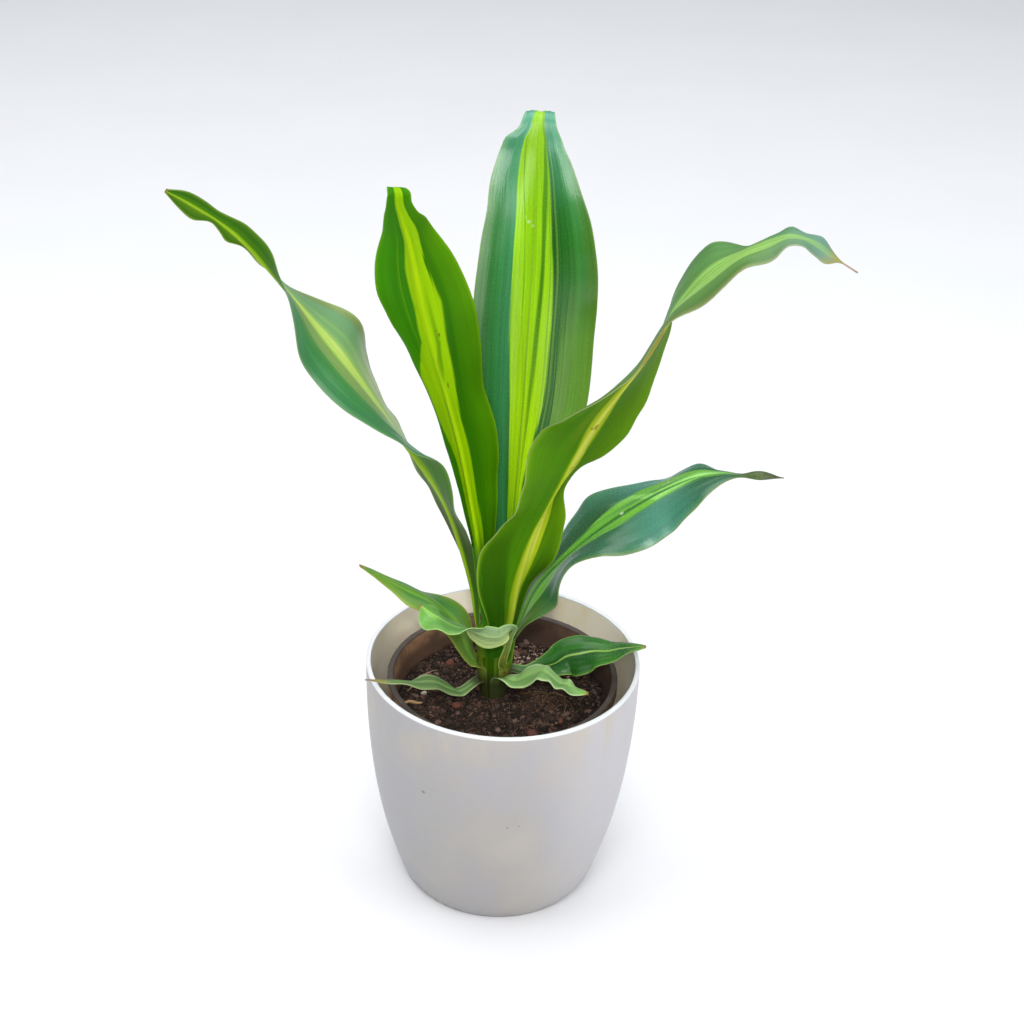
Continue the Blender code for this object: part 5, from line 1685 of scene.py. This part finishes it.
@dataclass
class SoilBed:
    """The potting mix in the nursery pot, with crumbs, clods, fibres, a root, a twig and stones on it."""

    pot: NurseryPot
    level: float = 0.123
    mound: float = 0.003
    roughness: float = 0.0022
    lump: float = 0.011
    clod: tuple[float, float] = (0.0048, 0.0014)
    grain: tuple[float, float] = (0.0019, 0.0008)
    rings: int = 140
    steps: int = 600
    crumbs: int = 8600
    clods: int = 620
    fibres: int = 260
    heap: tuple[float, float, float] = (0.024, -0.004, 0.0022)
    pale_patch: tuple[float, float] = (0.014, 0.036)
    look: SoilFinish = SoilFinish()
    rng: np.random.Generator = field(default_factory=lambda: np.random.default_rng(19))

    @property
    def radius(self) -> float:
        """Radius of the soil's surface."""
        return self.pot.radius_at(self.level - self.roughness) - self.pot.wall - 0.0003

    def height_at(self, x: float, y: float) -> float:
        """Height of the soil's surface: a low mound at the cane and a heap beside it, with lumps and grains.

        Args:
            x: the place to the right.
            y: the place towards the back.

        Returns:
            The height there.
        """
        side, back, tall = self.heap
        (clod, clod_height), (grain, grain_height) = self.clod, self.grain
        away = math.hypot(x - CROWN.x, y - CROWN.y) / self.radius
        mound = self.mound * (1.0 - min(1.0, away)) ** 2
        rolling = noise.noise(Vector((x / self.lump + 7, y / self.lump, 0.0)))
        clods = noise.noise(Vector((x / clod, y / clod, 3.0)))
        grains = noise.noise(Vector((x / grain, y / grain, 9.0)))
        grains += 0.6 * noise.noise(Vector((x / 0.0009, y / 0.0009, 5.0)))
        heap = math.exp(-(((x - side) / 0.011) ** 2 + ((y - back) / 0.008) ** 2))
        edge = max(0.0, (math.hypot(x, y) / self.radius - 0.94) / 0.06)
        top = self.level + mound + tall * heap + self.roughness * rolling
        top += clod_height * clods + grain_height * grains
        return top * (1.0 - edge) + (self.level - self.roughness) * edge

    def build(self) -> None:
        """Builds the bed of soil and everything that lies on it."""
        self._build_bed()
        self._build_crumbs()
        self._build_fibres()
        self._build_finds()

    def _build_bed(self) -> None:
        """Builds the bed: a dense rough surface over a plain plug that fills the pot."""
        floor = self.pot.bottom + self.pot.floor_raise + self.pot.wall + 0.0003
        foot_radius = self.pot.radius_at(floor) - self.pot.wall - 0.0006
        turns = turns_of(self.steps)
        points = [(0.0, 0.0, self.height_at(0.0, 0.0))]
        for ring in range(1, self.rings + 1):
            radius = self.radius * ring / self.rings
            for turn in turns:
                x, y = radius * math.cos(turn), radius * math.sin(turn)
                points.append((x, y, self.height_at(x, y)))
        for share in (0.35, 1.0):
            radius = self.radius + (foot_radius - self.radius) * share
            height = self.level - self.roughness + (floor - self.level + self.roughness) * share
            points += [(radius * math.cos(turn), radius * math.sin(turn), height) for turn in turns]
        points.append((0.0, 0.0, floor))
        faces = closed_rings(self.rings + 2, self.steps)
        piece = mesh_piece("soil_bed", np.array(points), faces, "potting_mix", "soil")
        piece.data.materials.append(self.look.bed_material())

    def _scatter(self, count: int, reach: float, keep_out: float = 0.0085) -> list[tuple[float, float]]:
        """Random places on the soil, clear of the cane.

        Args:
            count: how many there are.
            reach: how far from the middle they may lie.
            keep_out: how far from the cane they stay.

        Returns:
            The x and y of each.
        """
        places = []
        while len(places) < count:
            radius, turn = reach * math.sqrt(self.rng.uniform()), self.rng.uniform(0, 2 * math.pi)
            x, y = radius * math.cos(turn), radius * math.sin(turn)
            if math.hypot(x - CROWN.x, y - CROWN.y) > keep_out:
                places.append((x, y))
        return places

    def _lump(self, size: float, flat: float, finer: int) -> tuple[np.ndarray, np.ndarray]:
        """One irregular lump about its own middle.

        Args:
            size: its mean radius in metres.
            flat: its height as a share of its width.
            finer: how finely it is divided.

        Returns:
            Its points and its triangles.
        """
        made = bmesh.new()
        bmesh.ops.create_icosphere(made, subdivisions=finer, radius=1.0)
        points = np.array([v.co for v in made.verts])
        faces = np.array([[v.index for v in f.verts] for f in made.faces])
        made.free()
        shift = self.rng.uniform(-50, 50, 3)
        coarse = np.array([noise.noise(Vector(p * 1.3 + shift)) for p in points])
        fine = np.array([noise.noise(Vector(p * 3.1 - shift)) for p in points])
        points = points * (1.0 + 0.55 * (coarse + 0.45 * fine))[:, None]
        cuts = unit(self.rng.normal(size=(4, 3)))
        for cut in cuts:
            over = np.clip(points @ cut - self.rng.uniform(0.55, 0.85), 0.0, None)
            points = points - over[:, None] * cut
        points = points * [
            self.rng.uniform(low, high) for low, high in ((0.75, 1.35), (0.75, 1.2), (0.8, 1.1))
        ]
        turn = Matrix.Rotation(self.rng.uniform(0, 2 * math.pi), 3, Vector(unit(self.rng.normal(size=3))))
        points = points @ np.array(turn).T
        points[:, 2] *= flat
        return points * size, faces

    def _join(self, name: str, lumps: list[tuple[np.ndarray, np.ndarray, float]]) -> Piece:
        """Joins loose bits into one piece.

        Args:
            name: the piece's name.
            lumps: the points, triangles and tone of each bit.

        Returns:
            The piece.
        """
        points, faces, tones, start = [], [], [], 0
        for own_points, own_faces, tone in lumps:
            points.append(own_points)
            faces.append(own_faces + start)
            tones.append(np.full(len(own_points), tone))
            start += len(own_points)
        joined = [tuple(face) for face in np.concatenate(faces).tolist()]
        piece = mesh_piece(name, np.concatenate(points), joined, "potting_mix")
        hold_number(piece, "tone", np.concatenate(tones))
        return piece

    def _build_crumbs(self) -> None:
        """Builds the fine crumbs and the coarser clods, which sink a little into the bed."""
        tones = (
            (0.0, paint(26, 20, 17)), (0.4, paint(44, 34, 28)), (0.7, paint(66, 51, 42)),
            (0.86, paint(100, 80, 70)), (0.95, paint(82, 52, 46)), (0.985, paint(118, 92, 76)),
            (1.0, paint(160, 136, 120)),
        )
        side, back = self.pale_patch
        for name, count, small, large, power, finer in (
            ("soil_crumbs", self.crumbs, 0.00035, 0.00105, 2.6, 1),
            ("soil_clods", self.clods, 0.0009, 0.0024, 2.4, 2),
        ):
            lumps = []
            for x, y in self._scatter(count, self.radius - 0.0026, 0.0068):
                size = small + (large - small) * self.rng.uniform() ** power
                points, faces = self._lump(size, self.rng.uniform(0.55, 0.95), finer)
                pale = math.exp(-(((x - side) / 0.014) ** 2 + ((y - back) / 0.012) ** 2))
                tone = 1.0 if finer == 1 and self.rng.uniform() < 0.7 * pale else 0.97 * self.rng.uniform()
                lumps.append((points + (x, y, self.height_at(x, y) + size * 0.25), faces, tone))
            self._join(name, lumps).data.materials.append(self.look.loose_material(name + "_mix", tones))

    def _tube(self, path: np.ndarray, radius: float, sides: int = 6) -> tuple[np.ndarray, np.ndarray]:
        """A thin round body along a path, pointed at both ends.

        Args:
            path: the points that it follows.
            radius: its radius in the middle.
            sides: how many sides it has.

        Returns:
            Its points and its faces of three corners.
        """
        along = unit(np.gradient(path, axis=0))
        side = unit(np.cross(along, np.array((0.0, 0.0, 1.0)) + 1e-4))
        up = np.cross(side, along)
        count = len(path)
        taper = np.sqrt(np.clip(np.sin(np.linspace(0.04, math.pi - 0.04, count)), 0.05, 1.0)) * radius
        turns = turns_of(sides)[None, :, None]
        rings = path[:, None] + taper[:, None, None] * (
            np.cos(turns) * side[:, None] + np.sin(turns) * up[:, None]
        )
        points = np.concatenate([rings.reshape(-1, 3), path[:1], path[-1:]])
        faces = []
        for i in range(sides):
            after = (i + 1) % sides
            for row in range(count - 1):
                a, b = row * sides + i, row * sides + after
                faces += [(a, a + sides, b), (b, a + sides, b + sides)]
            last = (count - 1) * sides
            faces += [(count * sides, i, after), (count * sides + 1, last + after, last + i)]
        return points, np.array(faces)

    def _lie(self, x: float, y: float, turn: float, length: float, bend: float, radius: float) -> np.ndarray:
        """A path that lies on the soil.

        Args:
            x: how far to the right its middle is.
            y: how far back its middle is.
            turn: its direction.
            length: how long it is.
            bend: how much it turns from end to end.
            radius: how thick the body on it is.

        Returns:
            The path's points.
        """
        steps = max(6, int(length / 0.0012))
        wander = 0.35 * np.sin(np.linspace(0, self.rng.uniform(3, 9), steps) + turn)
        headings = turn + bend * np.linspace(-0.5, 0.5, steps) + wander
        run = np.cumsum(np.stack([np.cos(headings), np.sin(headings)], 1) * length / steps, axis=0)
        run = run - run[steps // 2] + (x, y)
        heights = np.array([self.height_at(px, py) for px, py in run])
        evened = np.convolve(np.pad(heights, 2, "edge"), np.ones(5) / 5, "valid")
        raised = evened + radius + 0.0006 * self.rng.uniform(0.2, 1.4)
        return np.column_stack([run, np.maximum(raised, heights + radius * 0.4)])

    def _build_fibres(self) -> None:
        """Builds the coir fibres, thicker in number at the heap beside the cane."""
        bits = []
        for k in range(self.fibres):
            if k % 2 == 0:
                x, y = self.rng.normal((0.024, -0.002), (0.010, 0.008))
            else:
                x, y = self._scatter(1, self.radius - 0.009)[0]
            length = self.rng.uniform(0.005, 0.018)
            near_cane = math.hypot(x - CROWN.x, y - CROWN.y) < 0.010 + length / 2
            if near_cane or math.hypot(x, y) > self.radius - 0.010:
                continue
            radius = self.rng.uniform(0.00008, 0.00019)
            path = self._lie(
                x, y, self.rng.uniform(0, 2 * math.pi), length, self.rng.uniform(-1.8, 1.8), radius,
            )
            bits.append((*self._tube(path, radius), self.rng.uniform()))
        tones = ((0.0, paint(58, 42, 32)), (0.5, paint(98, 74, 56)), (1.0, paint(146, 118, 92)))
        fibre = self.look.loose_material("coir_fibre", tones, 0.85, 2400.0)
        self._join("coir_fibres", bits).data.materials.append(fibre)

    def _build_finds(self) -> None:
        """Builds the long root, the tan twig, the reddish clods and the pale stones."""
        root = self._lie(-0.050, 0.012, math.radians(235), 0.030, 0.7, 0.0005)
        twig = self._lie(-0.052, -0.012, math.radians(-8), 0.014, 0.1, 0.0009)
        bits = [(*self._tube(root, 0.0005, 8), 0.85), (*self._tube(twig, 0.0010, 8), 0.6)]
        for x, y, size, tone in (
            (-0.026, -0.013, 0.0030, 0.25), (-0.043, -0.034, 0.0028, 0.22), (0.010, 0.002, 0.0024, 0.25),
            (0.018, -0.038, 0.0030, 0.12), (-0.046, -0.004, 0.0021, 1.0), (0.034, -0.026, 0.0022, 0.22),
            (-0.018, -0.045, 0.0026, 0.15), (0.040, 0.010, 0.0018, 0.95), (0.002, -0.049, 0.0022, 0.3),
            (-0.032, 0.030, 0.0026, 0.2), (0.028, 0.036, 0.0024, 0.25), (-0.008, 0.046, 0.0022, 0.3),
        ):
            points, faces = self._lump(size, 0.8, 3)
            bits.append((points + (x, y, self.height_at(x, y) + size * 0.35), faces, tone))
        tones = (
            (0.0, paint(74, 48, 48)), (0.25, paint(98, 60, 48)), (0.6, paint(170, 138, 100)),
            (0.85, paint(140, 118, 98)), (1.0, paint(206, 192, 172)),
        )
        self._join("soil_finds", bits).data.materials.append(
            self.look.loose_material("clods_and_twigs", tones)
        )


@dataclass(frozen=True)
class CaneFinish:
    """Green-brown cane with pale rings where old leaves were, browner at the soil."""

    green: Colour = paint(92, 110, 34)
    brown: Colour = paint(112, 88, 58)

    def material(self, cane: Crown) -> Material:
        """Builds the cane's material.

        Args:
            cane: the cane that it covers.

        Returns:
            The material.
        """
        desk = MaterialDesk("cane_bark")
        place = desk.place()
        z = desk.parts(place)[2]
        fibre = desk.cloud(desk.stretch(place, (900.0, 900.0, 90.0)), 1.0, 3.0, 0.6)
        bark = desk.cloud(place, 160.0, 3.0, 0.6)
        uneven = desk.plus(z, desk.spread(bark, -0.001, 0.001))
        rings = desk.reckon("SINE", desk.times(uneven, 2 * math.pi / cane.ring_gap))
        aged = desk.plus(desk.step(z, cane.soil + 0.016, cane.soil), desk.spread(bark, -0.2, 0.2))
        colour = desk.blend(desk.step(aged, 0.2, 0.9), self.green, self.brown)
        colour = desk.blend(desk.times(desk.step(rings, 0.72, 0.95), 0.6), colour, paint(168, 152, 110))
        colour = desk.shaded(colour, desk.spread(fibre, 0.7, 1.3))
        normal = desk.relief(fibre, 0.0003, 0.6, desk.relief(rings, 0.0004, 0.6))
        return desk.finish(colour, desk.spread(bark, 0.5, 0.8), normal, Specular_IOR_Level=0.35)


@dataclass(frozen=True)
class Cane:
    """The short cane that carries the leaves, with shallow rings where old leaves were."""

    crown: Crown
    steps: int = 64
    ring_height: float = 0.00022
    unevenness: float = 0.00018
    look: CaneFinish = CaneFinish()

    def build(self) -> Piece:
        """Builds the cane and dresses it.

        Returns:
            The cane's piece.
        """
        crown = self.crown
        tip = np.linspace(crown.top - 0.0002, crown.top - 0.0096, 14)
        heights = [float(h) for h in (*tip, *np.linspace(crown.top - 0.0104, crown.foot, 190))]
        points = [(crown.x, crown.y, crown.top)]
        for height in heights:
            ring = self.ring_height * math.cos(height * 2 * math.pi / crown.ring_gap) ** 9
            radius = max(crown.radius_at(height) + ring, 0.0002)
            for turn in turns_of(self.steps):
                x, y = math.cos(turn), math.sin(turn)
                uneven = self.unevenness * noise.noise(Vector((x * 1.4, y * 1.4, height / 0.008)))
                own = max(radius + uneven, 0.0001)
                points.append((crown.x + own * x, crown.y + own * y, height))
        points.append((crown.x, crown.y, crown.foot))
        faces = closed_rings(len(heights), self.steps)
        piece = mesh_piece("cane_body", np.array(points), faces, "cane", "stem")
        piece.data.materials.append(self.look.material(self.crown))
        return piece


class Placing(Enum):
    """Where a soft light stands, as its place, its width and its height in metres."""

    OVERHEAD = ((-0.2, 0.5, 2.6), (3.0, 2.4))
    RIGHT = ((2.2, -1.0, 1.5), (1.6, 1.8))
    LEFT = ((-2.1, -0.7, 2.0), (1.4, 1.4))
    FRONT = ((-0.1, -1.85, 2.3), (1.6, 1.2))


@dataclass(frozen=True)
class Studio:
    """The pale floor, the soft lights and the camera, which looks down at the plant from the front."""

    camera_place: tuple[float, float, float] = (0.002, -0.969, 0.809)
    pitch: float = 30.05
    roll: float = 2.11
    focal_pixels: float = 2000.0
    picture: int = 1024
    floor_colour: Colour = paint(234, 234, 235)
    lights: tuple[tuple[Placing, float, Colour], ...] = (
        (Placing.OVERHEAD, 57.0, (0.97, 0.98, 1.0)),
        (Placing.RIGHT, 27.0, (0.97, 0.98, 1.0)),
        (Placing.LEFT, 13.0, (0.99, 0.98, 0.98)),
        (Placing.FRONT, 46.0, (0.98, 0.98, 1.0)),
    )
    mouth_light_place: tuple[float, float, float] = (0.0, -1.42, 1.35)
    mouth: tuple[float, float, float] = (0.0, 0.045, 0.14)
    plant_middle: tuple[float, float, float] = (0.0, 0.0, 0.2)

    def build(self) -> None:
        """Builds the camera, the floor and the lights."""
        self._set_camera()
        self._lay_floor()
        for placing, power, colour in self.lights:
            self._light(placing, power, colour)
        self._shine_into_mouth()
        world = bpy.data.worlds.new("studio_air")
        world.use_nodes = True
        background = world.node_tree.nodes["Background"]
        background.inputs["Color"].default_value = (0.88, 0.94, 1.0, 1.0)
        background.inputs["Strength"].default_value = 0.30
        bpy.context.scene.world = world
        bpy.context.scene.view_settings.view_transform = "Standard"

    def _set_camera(self) -> None:
        """Sets the camera at the angle that the plant is usually seen from."""
        pitch, roll = math.radians(self.pitch), math.radians(self.roll)
        ahead = Vector((0.0, math.cos(pitch), -math.sin(pitch)))
        up = Vector((0.0, math.sin(pitch), math.cos(pitch)))
        right = Vector((1.0, 0.0, 0.0))
        rolled_right = math.cos(roll) * right + math.sin(roll) * up
        rolled_up = -math.sin(roll) * right + math.cos(roll) * up
        lens = bpy.data.cameras.new("studio_camera")
        lens.sensor_width = 36.0
        lens.lens = 36.0 * self.focal_pixels / self.picture
        lens.clip_start = 0.01
        camera = placed("studio_camera", lens)
        turn = Matrix((rolled_right, rolled_up, -ahead)).transposed()
        camera.matrix_world = Matrix.Translation(self.camera_place) @ turn.to_4x4()
        bpy.context.scene.camera = camera

    def _lay_floor(self) -> None:
        """Lays a plain pale floor."""
        mesh = bpy.data.meshes.new("studio_floor")
        half = 14.0
        corners = [(-half, -half, 0.0), (half, -half, 0.0), (half, half, 0.0), (-half, half, 0.0)]
        mesh.from_pydata(corners, [], [(0, 1, 2, 3)])
        floor = placed("studio_floor", mesh)
        desk = MaterialDesk("studio_floor")
        grain = desk.cloud(desk.place(), 6.0, 2.0, 0.5)
        low = tuple(c * 0.985 for c in self.floor_colour)
        colour = desk.ramp(grain, ((0.35, low), (0.65, self.floor_colour)))
        mesh.materials.append(desk.finish(colour, 0.8, Specular_IOR_Level=0.2))

    def _shine_into_mouth(self) -> None:
        """Adds a narrow light with a soft edge that reaches under the leaves, into the pot's mouth."""
        lamp = bpy.data.lights.new("mouth_light", "SPOT")
        lamp.energy, lamp.color = 72.0, (1.0, 0.97, 0.93)
        lamp.spot_size, lamp.spot_blend, lamp.shadow_soft_size = math.radians(6.8), 1.0, 0.08
        self._hang(lamp, self.mouth_light_place, self.mouth)

    def _light(self, placing: Placing, power: float, colour: Colour) -> None:
        """Adds a soft light that shines at the plant.

        Args:
            placing: where it hangs and how large it is.
            power: its power in watts.
            colour: its tint.
        """
        place, (width, height) = placing.value
        lamp = bpy.data.lights.new("light_" + placing.name.lower(), "AREA")
        lamp.shape = "RECTANGLE"
        lamp.size, lamp.size_y = width, height
        lamp.energy, lamp.color = power, colour
        self._hang(lamp, place, self.plant_middle)

    def _hang(self, lamp: bpy.types.Light, place: tuple[float, ...], target: tuple[float, ...]) -> None:
        """Hangs a lamp so that it shines at a target.

        Args:
            lamp: the lamp.
            place: where it hangs.
            target: what it shines at.
        """
        light = placed(lamp.name, lamp)
        light.location = place
        light.rotation_euler = (Vector(target) - Vector(place)).to_track_quat("-Z", "Y").to_euler()


def main() -> None:
    """Builds the plant, its pots and the studio."""
    logging.basicConfig(level=logging.INFO, format="%(name)s: %(message)s")
    Studio().build()
    Planter().build()
    pot = NurseryPot()
    pot.build()
    SoilBed(pot).build()
    Cane(CROWN).build()
    for blade in LEAVES:
        blade.build()


if __name__ == "__main__":
    main()
